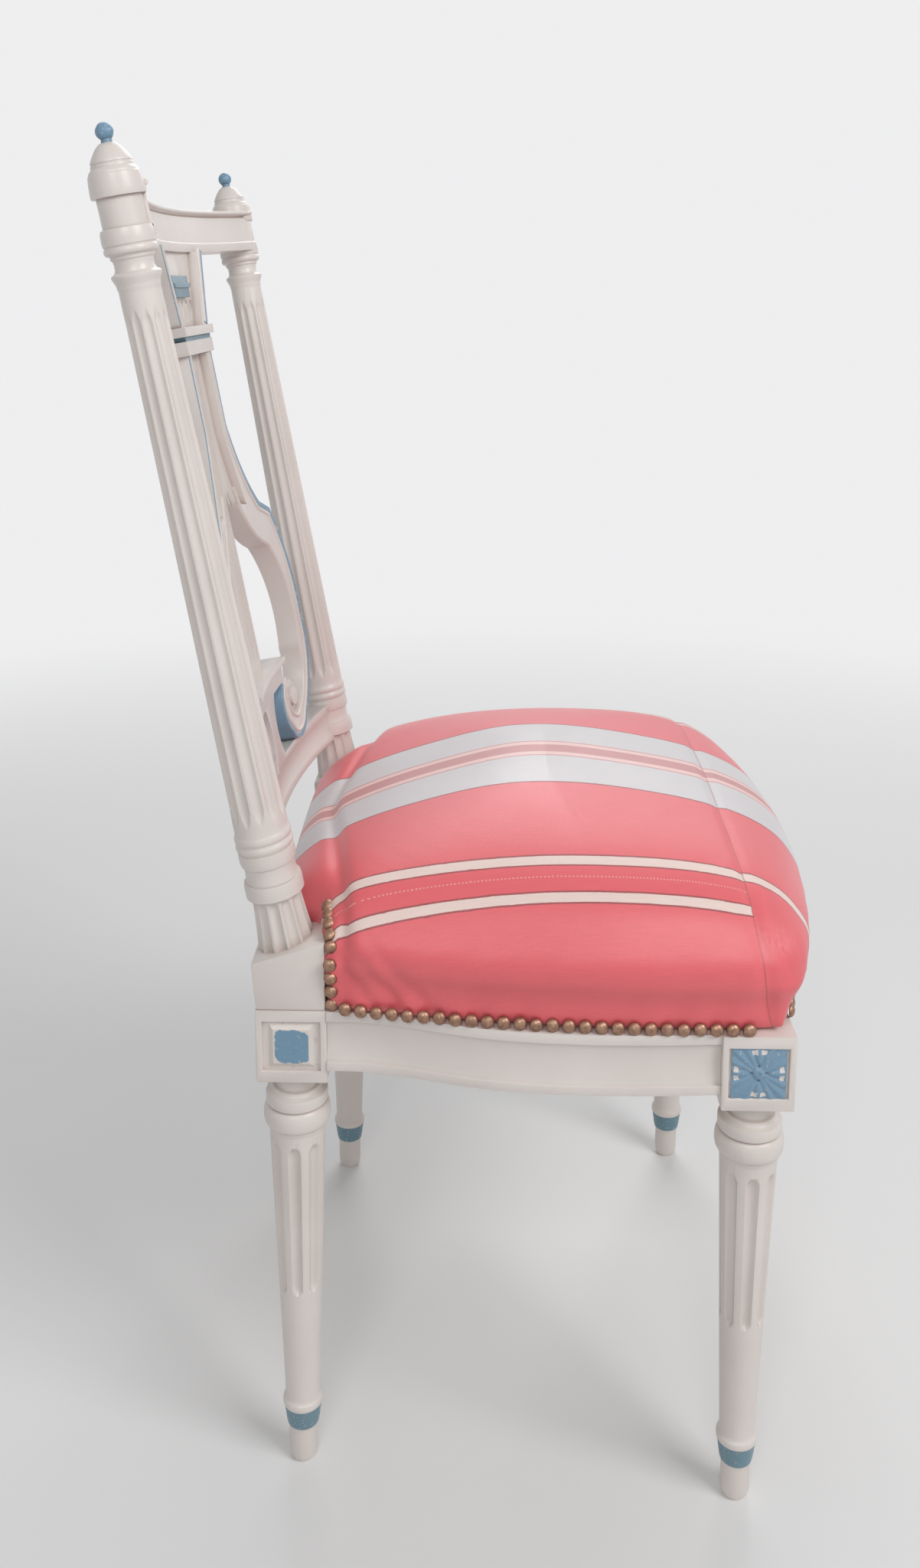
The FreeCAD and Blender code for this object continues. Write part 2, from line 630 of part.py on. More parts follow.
def collar():
    """Two raised mouldings with a narrower one between them, under the head."""
    top = HEAD_LOW_S
    third = COLLAR_HEIGHT / 3
    rings = []
    for half, low, high in ((HEAD_LOW_HALF + COLLAR_STEP, top - third, top),
                            (HEAD_LOW_HALF - COLLAR_STEP, top - 1.5 * third, top - third),
                            (HEAD_LOW_HALF - COLLAR_STEP / 2, COLLAR_LOW_S, top - 1.5 * third)):
        lift = (half - NECK_HALF) / COLLAR_STEP
        rings.append(sawn(symmetric([(half, high), (half - 1, low)]), LYRE_FRONT - lift, LYRE_BACK))
    return rings


def head_grooves(spread):
    """Pointed grooves that fan out over the ground of the head."""
    low_s = HEAD_LOW_S + HEAD_HEIGHT / 10
    high_s = HEAD_LOW_S + HEAD_HEIGHT / 3
    grooves = []
    for k in range(HEAD_GROOVES):
        x = (k - (HEAD_GROOVES - 1) / 2) * spread / (HEAD_GROOVES + 1)
        v = bow_at(x) + GROUND
        grooves.append(pointed_bar(V(x * 0.82, v, low_s), V(x * 1.1, v, high_s),
                                   HEAD_GROOVE_HALF, HEAD_GROOVE_HALF, HEAD_GROOVE_HALF))
    return grooves


def lyre_strings():
    """Tapered bundle of strings with pointed grooves, standing on the plinth."""
    bar = sawn(symmetric([(STRINGS_TOP_HALF, COLLAR_LOW_S), (STRINGS_LOW_HALF, PLINTH_TOP_S)]),
               GROUND, GROUND + STRINGS_THICKNESS)
    step = 2 * STRINGS_LOW_HALF / (STRING_GROOVES + 1)
    taper = STRINGS_TOP_HALF / STRINGS_LOW_HALF
    reach = COLLAR_HEIGHT * 0.7
    grooves = []
    for k in range(STRING_GROOVES):
        x = (k + 1) * step - STRINGS_LOW_HALF
        grooves.append(pointed_bar(
            V(x, bow_at(x) + GROUND, PLINTH_TOP_S + reach),
            V(x * taper, bow_at(x * taper) + GROUND, COLLAR_LOW_S - reach),
            STRING_GROOVE_HALF, STRING_GROOVE_HALF * taper, 2 * STRING_GROOVE_HALF))
    return bar.cut(grooves)


def strings_half(s):
    share = (COLLAR_LOW_S - s) / (COLLAR_LOW_S - PLINTH_TOP_S)
    return STRINGS_TOP_HALF + share * (STRINGS_LOW_HALF - STRINGS_TOP_HALF)


def on_arm(share):
    """Point of the arm's outline from shares of the lyre's half width and height."""
    return share[0] * LYRE_HALF_WIDTH, LOWER_RAIL_TOP_S + share[1] * LYRE_HEIGHT


def arm_arc(shares):
    return tuple(on_arm(share) for share in shares)


def lyre_arm():
    """Scrolled arm for +X, with a raised outer border above and a scroll round its eye below."""
    shoulder_s = on_arm((0, ARM_SHOULDER))[1]
    outer = [
        (NECK_HALF, COLLAR_LOW_S), (NECK_HALF, on_arm((0, ARM_WAIST))[1]), arm_arc(ARM_FLARE),
        on_arm(ARM_CUSP), arm_arc(ARM_BELLY), arm_arc(ARM_HEEL), arm_arc(ARM_SOLE),
        (on_arm(ARM_CURL), (ARM_TOP_LAP * LYRE_HALF_WIDTH, PLINTH_LOW_S))]
    inner = [
        (ARM_INNER_LAP * LYRE_HALF_WIDTH, PLINTH_LOW_S), arm_arc(ARM_INNER_CURL),
        arm_arc(ARM_INNER_HEEL), arm_arc(ARM_INNER_BELLY),
        (on_arm(ARM_INNER_SHOULDER), (strings_half(shoulder_s), shoulder_s)),
        (STRINGS_TOP_HALF, COLLAR_LOW_S)]
    arm = sawn(outer + inner, LYRE_FRONT, LYRE_BACK)
    border_x = NECK_HALF - ARM_BORDER
    above = COLLAR_LOW_S + LYRE_PROUD
    sunk = [(0, above), (border_x, above), (border_x, on_arm((0, SUNK_WAIST))[1]),
            arm_arc(SUNK_FLARE), on_arm((0, SUNK_POINT))]
    arm = arm.cut(sawn(sunk, LYRE_FRONT - LYRE_PROUD, GROUND))
    rail_top = box(0, REAR_LEG_X, -REAR_LEG_X, REAR_LEG_X, LOWER_RAIL_LOW_S, LOWER_RAIL_TOP_S)
    return arm.fuse(scroll_eye()).cut(rail_top)


def scroll_eye():
    """Round button on a sunk web, filling the scroll."""
    x, s = on_arm(SCROLL_EYE_AT)
    deep = 4 * BACK_BOW_DEPTH
    back = LYRE_BACK - LYRE_THICKNESS / 9
    parts = []
    for radius, front in ((SCROLL_WEB_R, LYRE_FRONT + SCROLL_WEB_SINK), (SCROLL_EYE_R, LYRE_FRONT)):
        rod = Part.makeCylinder(radius, 2 * deep, V(x, -deep, s), V(0, 1, 0))
        parts.append(rod.common(lyre_slab(front, back)))
    return parts


def lyre_base():
    """Moulded plinth under the strings on a waisted pedestal that stands on the lower rail."""
    sizes = ((0, 1), (3, 0.76), (-1, 0.57), (-3, 0.19), (0, 0))
    plinth = sawn(symmetric([(PLINTH_HALF + out, PLINTH_LOW_S + up * PLINTH_HEIGHT) for out, up in sizes]),
                  LYRE_FRONT, LYRE_BACK)
    lip_half = PLINTH_HALF + PLINTH_LIP / 2
    lip = sawn(symmetric([(lip_half, PLINTH_TOP_S), (lip_half, PLINTH_TOP_S - PLINTH_HEIGHT / 4)]),
               LYRE_FRONT - PLINTH_LIP, LYRE_BACK)
    waist = (PEDESTAL_HALF / 2, (PLINTH_LOW_S + LOWER_RAIL_TOP_S) / 2)
    pedestal = sawn([(-PEDESTAL_HALF, PLINTH_LOW_S),
                     ((-waist[0], waist[1]), (-PEDESTAL_HALF, LOWER_RAIL_TOP_S)),
                     (PEDESTAL_HALF, LOWER_RAIL_TOP_S), (waist, (PEDESTAL_HALF, PLINTH_LOW_S))],
                    LYRE_FRONT + PLINTH_LIP / 4, LYRE_BACK)
    tenon_half = PEDESTAL_HALF * 0.75
    tenon = sawn(symmetric([(tenon_half, LOWER_RAIL_TOP_S),
                            (tenon_half, LOWER_RAIL_TOP_S - LYRE_TENON_DEPTH)]),
                 LYRE_PROUD, LYRE_PROUD + LYRE_TENON_THICKNESS)
    return plinth.fuse([lip, pedestal, tenon]).removeSplitter()


# Seat rails

def side_face_x(y):
    """Straight line between the outer faces of the rear and front leg blocks."""
    share = -y / LEG_SPAN_Y
    return REAR_LEG_X + share * (FRONT_LEG_X - REAR_LEG_X) + HALF_BLOCK - RAIL_SETBACK


def side_curve_points():
    """Plan of the serpentine outer face, from the rear block to the front block."""
    rear_y = -HALF_BLOCK
    front_y = FRONT_Y + HALF_BLOCK
    points = []
    for share, bow in ((0, 0), (0.15, -SIDE_REAR_DIP), (0.37, SIDE_MID_BOW),
                       (0.70, SIDE_FRONT_BOW), (1, 0)):
        y = rear_y + share * (front_y - rear_y)
        points.append(V(side_face_x(y) + bow, y, 0))
    return points


# Moulded face of a rail, from its lower edge up: share of the height, and how far it stands out
RAIL_PROFILE = ((0, 0.8), (0.145, 1.0), (0.16, -1.2), (0.235, -2.0), (0.48, -3.6),
                (0.815, -2.0), (0.835, 0.6), (1, 0.6))


def moulded_rail(front_wire_at, inner_points):
    """Stack of ruled sections: the outer face follows the moulding, the inner face is straight."""
    wires = []
    for up, lift in RAIL_PROFILE:
        z = RAIL_LOW_Z + up * RAIL_HEIGHT
        face = front_wire_at(lift, z)
        start = face.valueAt(face.FirstParameter)
        end = face.valueAt(face.LastParameter)
        inner = [V(p.x, p.y, z) for p in inner_points]
        path = [end] + inner + [start]
        edges = [face] + [Part.makeLine(a, b) for a, b in zip(path, path[1:])]
        wires.append(Part.Wire(edges))
    return Part.makeLoft(wires, True, True)


def side_rail():
    """Serpentine moulded rail for +X with a tenon at each end."""
    def face_at(lift, z):
        spline = Part.BSplineCurve()
        spline.interpolate([V(p.x + lift, p.y, z) for p in side_curve_points()])
        return spline.toShape()

    ends = side_curve_points()
    inner = [V(ends[-1].x - RAIL_THICKNESS, ends[-1].y, 0), V(ends[0].x - RAIL_THICKNESS, ends[0].y, 0)]
    return moulded_rail(face_at, inner).fuse(side_tenons())


def side_tenons():
    """Tongues of the side rail, let into the leg blocks; drawn for +X."""
    mid_z = RAIL_LOW_Z + RAIL_HEIGHT / 2
    tongues = []
    for leg_x, face_y, toward in ((REAR_LEG_X, -HALF_BLOCK, 1), (FRONT_LEG_X, FRONT_Y + HALF_BLOCK, -1)):
        far_y = face_y + toward * TENON_LENGTH
        x_mid = leg_x + HALF_BLOCK - RAIL_SETBACK - RAIL_THICKNESS / 2
        tongues.append(box(x_mid - TENON_THICKNESS / 2, x_mid + TENON_THICKNESS / 2,
                           min(face_y, far_y), max(face_y, far_y),
                           mid_z - TENON_HEIGHT / 2, mid_z + TENON_HEIGHT / 2))
    return tongues


def cross_rail(leg_x, centre_y, toward, bow):
    """Moulded rail between two legs, its face toward the front (-1) or the back (+1)."""
    end_x = leg_x - HALF_BLOCK
    face_y = centre_y + toward * (HALF_BLOCK - RAIL_SETBACK)

    def face_at(lift, z):
        y = face_y + toward * lift
        if bow == 0:
            return Part.makeLine(V(-end_x, y, z), V(end_x, y, z))
        return Part.Arc(V(-end_x, y, z), V(0, y + toward * bow, z), V(end_x, y, z)).toShape()

    inner_y = face_y - toward * RAIL_THICKNESS
    rail = moulded_rail(face_at, [V(end_x, inner_y, 0), V(-end_x, inner_y, 0)])
    return rail.fuse(cross_tenons(leg_x, centre_y, toward))


def cross_tenons(leg_x, centre_y, toward):
    mid_z = RAIL_LOW_Z + RAIL_HEIGHT / 2
    end_x = leg_x - HALF_BLOCK
    mid_y = centre_y + toward * (HALF_BLOCK - RAIL_SETBACK - RAIL_THICKNESS / 2)
    tongues = []
    for x0, x1 in ((end_x, end_x + TENON_LENGTH), (-end_x - TENON_LENGTH, -end_x)):
        tongues.append(box(x0, x1, mid_y - TENON_THICKNESS / 2, mid_y + TENON_THICKNESS / 2,
                           mid_z - TENON_HEIGHT / 2, mid_z + TENON_HEIGHT / 2))
    return tongues


# Corner blocks and screws

def side_inner_x(y):
    """Straight inner face of the side rail."""
    share = (-y - HALF_BLOCK) / (LEG_SPAN_Y - BLOCK_SIDE)
    rear_x = side_face_x(-HALF_BLOCK) - RAIL_THICKNESS
    front_x = side_face_x(FRONT_Y + HALF_BLOCK) - RAIL_THICKNESS
    return rear_x + share * (front_x - rear_x)


def corner_place(centre_y, toward):
    """Height, corner point and the direction away from the cross rail."""
    inner_y = centre_y + toward * (HALF_BLOCK - RAIL_SETBACK - RAIL_THICKNESS)
    return V(side_inner_x(inner_y), inner_y, RAIL_LOW_Z + (RAIL_HEIGHT - CORNER_BLOCK_HEIGHT) / 2)


def corner_block(leg_x, centre_y, toward):
    """Wedge glued between a cross rail and the +X side rail, notched round the leg block."""
    corner = corner_place(centre_y, toward)
    away_y = corner.y - toward * CORNER_BLOCK_REACH
    wedge = plate([corner, V(corner.x - CORNER_BLOCK_REACH, corner.y, corner.z),
                   V(side_inner_x(away_y), away_y, corner.z)], V(0, 0, CORNER_BLOCK_HEIGHT))
    leg = box(leg_x - HALF_BLOCK, leg_x + HALF_BLOCK, centre_y - HALF_BLOCK, centre_y + HALF_BLOCK,
              BLOCK_LOW_Z, FRAME_TOP)
    return wedge.cut(leg)


def corner_screw(leg_x, centre_y, toward):
    """Countersunk screw through the wedge's long face into the leg block's corner."""
    corner = corner_place(centre_y, toward)
    away_y = corner.y - toward * CORNER_BLOCK_REACH
    mid_z = corner.z + CORNER_BLOCK_HEIGHT / 2
    start = V((corner.x - CORNER_BLOCK_REACH + side_inner_x(away_y)) / 2,
              (corner.y + away_y) / 2, mid_z)
    inward = V(corner.y - away_y, CORNER_BLOCK_REACH, 0)
    inward = V(abs(inward.x), toward * abs(inward.y), 0).normalize()
    screw = revolved([
        (0, 0), (SCREW_HEAD_R, 0), (SCREW_R, SCREW_HEAD_DEPTH), (SCREW_R, SCREW_LENGTH),
        (0, SCREW_LENGTH)])
    screw.Placement = FreeCAD.Placement(start, FreeCAD.Rotation(UP, inward))
    return screw


# Upholstery

def seat_bed(margin, z_low, z_high):
    """Plan of the seat inside the rails' outer faces, stepped in between the rear posts."""
    front_y = FRONT_Y - HALF_BLOCK + margin
    rear_y = HALF_BLOCK - margin
    step_y = -HALF_BLOCK - margin / 2
    step_x = REAR_LEG_X - HALF_BLOCK - margin / 2
    right = [(side_face_x(front_y) - margin, front_y), (side_face_x(step_y) - margin, step_y),
             (step_x, step_y), (step_x, rear_y)]
    loop = [V(x, y, z_low) for x, y in right] + [V(-x, y, z_low) for x, y in reversed(right)]
    return plate(loop, V(0, 0, z_high - z_low))


def strap(low, high, across, level):
    """Woven strap with its ends folded double on the rails; low and high are its ends."""
    half = STRAP_WIDTH / 2
    base = FRAME_TOP
    t = STRAP_THICKNESS
    flat = box(low, high, -half, half, base + level * t, base + (level + 1) * t)
    fold_z = base + (1 - level) * t
    near = box(low, low + STRAP_FOLD, -half, half, fold_z, fold_z + t)
    far = box(high - STRAP_FOLD, high, -half, half, fold_z, fold_z + t)
    piece = flat.fuse([near, far]).removeSplitter()
    return rotated(UP, 90.0, piece) if not across else piece


def webbing():
    """Three straps from front to back over three from side to side."""
    straps = []
    front_y = FRONT_Y - HALF_BLOCK + HESSIAN_MARGIN
    rear_y = HALF_BLOCK - HESSIAN_MARGIN
    gap_x = (2 * (REAR_LEG_X - HALF_BLOCK) - STRAPS_EACH_WAY * STRAP_WIDTH) / (STRAPS_EACH_WAY + 1)
    for k in range(STRAPS_EACH_WAY):
        x = (k - (STRAPS_EACH_WAY - 1) / 2) * (STRAP_WIDTH + gap_x)
        straps.append(moved(strap(front_y, rear_y, False, 1), x=x))
    clear_front = FRONT_Y + HALF_BLOCK
    clear_rear = -HALF_BLOCK - STRAP_FOLD
    gap_y = (clear_rear - clear_front - STRAPS_EACH_WAY * STRAP_WIDTH) / (STRAPS_EACH_WAY + 1)
    for k in range(STRAPS_EACH_WAY):
        y = clear_front + gap_y + STRAP_WIDTH / 2 + k * (STRAP_WIDTH + gap_y)
        reach = side_face_x(y + STRAP_WIDTH / 2) - HESSIAN_MARGIN
        straps.append(moved(strap(-reach, reach, True, 0), y=y))
    return Part.makeCompound(straps)


# Stuffed seat from the rail up: share of the crown's height; insets as shares of the half width
# (sides) and of the depth (front and rear); corner radius as a share of the depth
CUSHION_LEVELS = (
    (0.0, 0, 0, 0.005, 0.038), (0.1, 0, 0, 0.005, 0.04), (0.224, -0.01, -0.019, 0.005, 0.054),
    (0.38, -0.02, -0.029, 0.008, 0.07), (0.534, 0.005, -0.021, 0.054, 0.091),
    (0.65, 0.06, 0.011, 0.123, 0.118), (0.76, 0.154, 0.064, 0.215, 0.156),
    (0.86, 0.31, 0.148, 0.325, 0.16), (0.94, 0.54, 0.272, 0.42, 0.12), (1.0, 0.86, 0.4, 0.5, 0.03))


def seat_edges(side_in, front_in, rear_in):
    """Corner points of a cushion section, and how far its front and sides bow out."""
    y_rear = HALF_BLOCK - SEAT_MARGIN - rear_in * SEAT_DEPTH
    y_front = FRONT_Y - HALF_BLOCK + SEAT_MARGIN + front_in * SEAT_DEPTH
    inset = SKIRT_INSET + side_in * SEAT_HALF_WIDTH
    x_rear = side_face_x(y_rear) - inset
    x_front = side_face_x(y_front) - inset
    front_bow = FRONT_BOW * x_front / FRONT_LEG_X
    side_bow = SIDE_MID_BOW * (y_rear - y_front) / LEG_SPAN_Y
    return V(x_front, y_front, 0), V(x_rear, y_rear, 0), front_bow, side_bow


# Where a quarter round crosses its corner's bisector, as a share of the chord's distance
CORNER_PULL = 2 - math.sqrt(2)


def rounded_corner(corner, toward_start, toward_end, radius):
    """Start, middle and end of the arc that rounds a corner."""
    start = corner.add(V(toward_start).multiply(radius))
    end = corner.add(V(toward_end).multiply(radius))
    pull = start.add(end).multiply(0.5).sub(corner).multiply(CORNER_PULL)
    return start, corner.add(pull), end


def cushion_section(z, side_in, front_in, rear_in, radius):
    """Closed section of arcs and lines: bowed front and sides, round corners, straight rear."""
    front, rear, front_bow, side_bow = seat_edges(side_in, front_in, rear_in)
    along_side = rear.sub(front).normalize()
    f0, f1, f2 = rounded_corner(front, V(-1, 0, 0), along_side, radius * SEAT_DEPTH)
    r0, r1, r2 = rounded_corner(rear, along_side.negative(), V(-1, 0, 0), radius * SEAT_DEPTH)
    side_mid = f2.add(r0).multiply(0.5).add(V(side_bow, 0, 0))
    front_mid = V(0, front.y - front_bow, 0)
    flip = [V(-p.x, p.y, 0) for p in (f0, f1, f2, side_mid, r0, r1, r2)]
    g0, g1, g2, left_mid, h0, h1, h2 = flip
    edges = [Part.Arc(g0, front_mid, f0), Part.Arc(f0, f1, f2), Part.Arc(f2, side_mid, r0),
             Part.Arc(r0, r1, r2), None, Part.Arc(h2, h1, h0), Part.Arc(h0, left_mid, g2),
             Part.Arc(g2, g1, g0)]
    shapes = [Part.makeLine(r2, h2) if edge is None else edge.toShape() for edge in edges]
    return moved(Part.Wire(shapes), z=z)


def seat_cushion():
    """Domed stuffed seat with drawn-in sides, notched round the rear posts."""
    sections = []
    for share, side_in, front_in, rear_in, radius in CUSHION_LEVELS:
        z = FRAME_TOP + share * CUSHION_CROWN
        sections.append(cushion_section(z, side_in, front_in, rear_in, radius))
    body = Part.makeLoft(sections, True, True)
    half = UPPER_BLOCK_SIDE / 2
    clear = 2 * CUSHION_CROWN
    notch = box(REAR_LEG_X - half, REAR_LEG_X + clear, -half, clear, FRAME_TOP - 1.0, FRAME_TOP + clear)
    cavity = seat_bed(HESSIAN_MARGIN, FRAME_TOP - 1.0, bed_top())
    return body.cut([notch, mirrored(notch), cavity])


def bed_top():
    return FRAME_TOP + 2 * STRAP_THICKNESS + HESSIAN_THICKNESS


def hessian():
    return seat_bed(HESSIAN_MARGIN, bed_top() - HESSIAN_THICKNESS, bed_top())


# Upholstery nails

def nail():
    """Low domed head, flat behind, facing -Y."""
    def ring(radius, y):
        step = math.tau / NAIL_SIDES
        return [V(radius * math.cos(k * step), y, radius * math.sin(k * step)) for k in range(NAIL_SIDES)]

    base = ring(NAIL_R, 0)
    crown = ring(NAIL_R * NAIL_FLAT, -NAIL_HEIGHT)
    rim = [[base[k - 1], base[k], crown[k], crown[k - 1]] for k in range(NAIL_SIDES)]
    return faceted([base, crown] + rim)


def nails_along(edge):
    """Evenly pitched heads standing on a horizontal edge of the skirt."""
    head = nail()
    count = int((edge.Length - NAIL_PITCH) / NAIL_PITCH)
    start = (edge.Length - (count - 1) * NAIL_PITCH) / 2
    heads = []
    for k in range(count):
        at = edge.getParameterByLength(start + k * NAIL_PITCH)
        point = edge.valueAt(at)
        tangent = edge.tangentAt(at)
        angle = math.degrees(math.atan2(tangent.y, tangent.x))
        heads.append(moved(rotated(UP, angle, head), point.x, point.y, point.z))
    return Part.makeCompound(heads)


def nail_rows():
    """One row each on the front, the back and both sides of the skirt."""
    z = FRAME_TOP + NAIL_R * NAIL_RISE
    section = cushion_section(z, *CUSHION_LEVELS[0][1:])
    front, corner, side, rear_corner, rear = section.Edges[:5]
    half = UPPER_BLOCK_SIDE / 2
    stop = side.valueAt(side.FirstParameter)
    share = (-half - stop.y) / (side.valueAt(side.LastParameter).y - stop.y)
    end = side.getParameterByLength(side.Length * min(share, 1.0))
    shown_side = side.Curve.toShape(side.FirstParameter, end)
    post_gap = REAR_LEG_X - half
    shown_rear = Part.makeLine(V(post_gap, rear.Vertexes[0].Y, z), V(-post_gap, rear.Vertexes[0].Y, z))
    return {
        "nails_front": nails_along(front),
        "nails_back": nails_along(shown_rear),
        "nails_left": nails_along(shown_side),
        "nails_right": mirrored(nails_along(shown_side)),
    }


# Assembly

MEASURING_STEP = 0.2
CORNERS = ((FRONT_LEG_X, FRONT_Y, -1), (REAR_LEG_X, 0.0, 1))


def front_leg(mortises):
    leg = moved(turned_leg(), FRONT_LEG_X, FRONT_Y)
    return leg_block(FRONT_LEG_X, FRONT_Y, -1).fuse(leg).cut(mortises)


def joined(names, shapes):
    """Name a +X piece and its mirror image."""
    return {names % "left": shapes, names % "right": mirrored(shapes)}


def back_nodes():
    """Posts, bowed rails, lyre and finials."""
    crest_tongue, lower_tongue = back_tongues()
    room = on_post(post_room(), 1)
    posts = Part.makeCompound([room, mirrored(room)])
    head = lyre_head()
    base = lyre_base()
    crest = crest_rail(posts).fuse([crest_tongue, mirrored(crest_tongue)]).cut(head)
    lower = lower_rail(posts).fuse([lower_tongue, mirrored(lower_tongue)]).cut(base)
    screw = corner_screw(*CORNERS[1])
    mortises = side_tenons() + cross_tenons(*CORNERS[1]) + [screw]
    mortises += [in_back(crest_tongue), in_back(lower_tongue)]
    dome = in_back(on_post(finial(), 1))
    nodes = {
        "crest_rail": in_back(crest), "lower_back_rail": in_back(lower),
        "finials": Part.makeCompound([dome, mirrored(dome)]),
        "lyre_head": in_back(head), "lyre_strings": in_back(lyre_strings()),
        "lyre_base": in_back(base)}
    nodes.update(joined("rear_post_%s", rear_post(mortises)))
    nodes.update(joined("lyre_arm_%s", in_back(lyre_arm())))
    return nodes


def seat_frame_nodes():
    """Front legs, rails, corner blocks and screws."""
    screws = [corner_screw(*corner) for corner in CORNERS]
    nodes = {}
    nodes.update(joined("front_leg_%s", front_leg(
        side_tenons() + cross_tenons(*CORNERS[0]) + [screws[0]])))
    nodes.update(joined("side_rail_%s", side_rail()))
    nodes["front_rail"] = cross_rail(*CORNERS[0], FRONT_BOW)
    nodes["rear_rail"] = cross_rail(*CORNERS[1], 0)
    for name, corner, screw in zip(("corner_block_front_%s", "corner_block_rear_%s"), CORNERS, screws):
        nodes.update(joined(name, corner_block(*corner).cut(screw)))
    nodes["corner_screws"] = Part.makeCompound(screws + [mirrored(screw) for screw in screws])
    return nodes


def ornament_nodes():
    """Rosettes in the front blocks and raised panels in the rear ones."""
    rosettes = on_faces(rosette(), FRONT_LEG_X, FRONT_Y, -1)
    panels = on_faces(raised_panel(), REAR_LEG_X, 0.0, 1)
    return {"rosettes": Part.makeCompound([rosettes, mirrored(rosettes)]),
            "block_panels": Part.makeCompound([panels, mirrored(panels)])}


def seat_nodes():
    """Webbing, hessian, stuffed seat and its nails."""
    nodes = {"webbing": webbing(), "hessian": hessian(), "seat_cushion": seat_cushion()}
    nodes.update(nail_rows())
    return nodes


def centred(nodes):
    """Bring the origin to the floor at the centre of the bounding box."""
    depths = []
    for name in ("seat_cushion", "nails_front", "front_rail", "crest_rail", "finials"):
        points, _ = nodes[name].copy().tessellate(MEASURING_STEP)
        depths += [point.y for point in points]
    shift = -(min(depths) + max(depths)) / 2
    return {name: moved(shape, y=shift) for name, shape in nodes.items()}, shift


def export(name, shape):
    shape.exportStep("parts/%s.step" % name)
    print("%-24s solids %3d  volume %10.0f  valid %s" % (
        name, len(shape.Solids), shape.Volume, shape.isValid()))


def build():
    nodes = {}
    for group in (seat_frame_nodes, back_nodes, ornament_nodes, seat_nodes):
        nodes.update(group())
    nodes, shift = centred(nodes)
    print("rear leg axis at y = %.2f" % shift)
    return nodes


os.makedirs("parts", exist_ok=True)
for node_name, node_shape in build().items():
    export(node_name, node_shape)
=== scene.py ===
import bpy
import bmesh
import math
from mathutils import Matrix, Vector, noise
from mathutils.bvhtree import BVHTree


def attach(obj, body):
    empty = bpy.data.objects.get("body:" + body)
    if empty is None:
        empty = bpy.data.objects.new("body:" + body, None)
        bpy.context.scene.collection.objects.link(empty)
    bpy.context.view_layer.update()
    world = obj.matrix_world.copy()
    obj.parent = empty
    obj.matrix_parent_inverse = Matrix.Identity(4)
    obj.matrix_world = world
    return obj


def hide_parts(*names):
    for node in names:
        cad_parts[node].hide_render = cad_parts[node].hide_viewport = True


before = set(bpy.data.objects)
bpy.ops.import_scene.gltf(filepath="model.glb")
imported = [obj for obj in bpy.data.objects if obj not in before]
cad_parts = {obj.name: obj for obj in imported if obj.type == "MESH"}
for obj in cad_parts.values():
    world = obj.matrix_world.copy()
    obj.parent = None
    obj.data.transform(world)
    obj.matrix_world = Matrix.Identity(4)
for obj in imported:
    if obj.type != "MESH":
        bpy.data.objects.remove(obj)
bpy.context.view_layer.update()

# Stage: a plain pale floor that fades into a white surround, with the chair's shadow on it.
# It isn't part of the chair.

STAGE_WHITE = (0.86, 0.86, 0.87, 1)
FLOOR_HALF = 8.0
FLOOR_COLOR = (0.80, 0.795, 0.79, 1)
FADE_START = 0.9
FADE_END = 2.6


def add_node(tree, kind, sockets=None, **settings):
    """A shader node with its settings, and its sockets given values or links."""
    node = tree.nodes.new(kind)
    for name, value in settings.items():
        setattr(node, name, value)
    for socket, value in (sockets or {}).items():
        if isinstance(value, bpy.types.NodeSocket):
            tree.links.new(value, node.inputs[socket])
        else:
            node.inputs[socket].default_value = value
    return node


def math_node(tree, operation, first, second=0.0, clamp=False):
    sockets = {0: first, 1: second}
    return add_node(tree, "ShaderNodeMath", sockets, operation=operation, use_clamp=clamp).outputs[0]


def product(tree, first, second):
    return math_node(tree, "MULTIPLY", first, second)


def total(tree, first, second):
    return math_node(tree, "ADD", first, second)


def less(tree, first, second):
    return math_node(tree, "SUBTRACT", first, second)


def object_place(tree):
    return add_node(tree, "ShaderNodeTexCoord").outputs["Object"]


def new_piece(name, shape):
    """A new object at the origin from a bmesh."""
    mesh = bpy.data.meshes.new(name)
    shape.to_mesh(mesh)
    shape.free()
    piece = bpy.data.objects.new(name, mesh)
    bpy.context.scene.collection.objects.link(piece)
    return piece


def seen_by_eye(tree):
    """1 for rays that show a background: straight, mirrored or through glass."""
    path = add_node(tree, "ShaderNodeLightPath")
    straight = math_node(tree, "MAXIMUM", path.outputs["Is Camera Ray"], path.outputs["Is Glossy Ray"])
    return math_node(tree, "MAXIMUM", straight, path.outputs["Is Transmission Ray"])


def floor_material():
    material = bpy.data.materials.new("pale_floor")
    material.use_nodes = True
    tree = material.node_tree
    place = object_place(tree)
    away = add_node(tree, "ShaderNodeVectorMath", {0: place}, operation="LENGTH").outputs["Value"]
    fade = add_node(tree, "ShaderNodeMapRange", {
        "Value": away, "From Min": FADE_START, "From Max": FADE_END},
                    interpolation_type="SMOOTHSTEP").outputs[0]
    shader = tree.nodes["Principled BSDF"]
    shader.inputs["Base Color"].default_value = FLOOR_COLOR
    shader.inputs["Roughness"].default_value = 0.7
    glow = add_node(tree, "ShaderNodeEmission", {"Color": STAGE_WHITE, "Strength": 1.0})
    mix = add_node(tree, "ShaderNodeMixShader", {
        0: product(tree, fade, seen_by_eye(tree)), 1: shader.outputs[0], 2: glow.outputs[0]})
    tree.links.new(mix.outputs[0], tree.nodes["Material Output"].inputs["Surface"])
    return material


floor_shape = bmesh.new()
bmesh.ops.create_grid(floor_shape, x_segments=1, y_segments=1, size=FLOOR_HALF)
floor = new_piece("floor", floor_shape)
floor.data.materials.append(floor_material())

# Light: an even pale surround and three large soft lamps, the main one high on the
# camera's side, toward the chair's front.

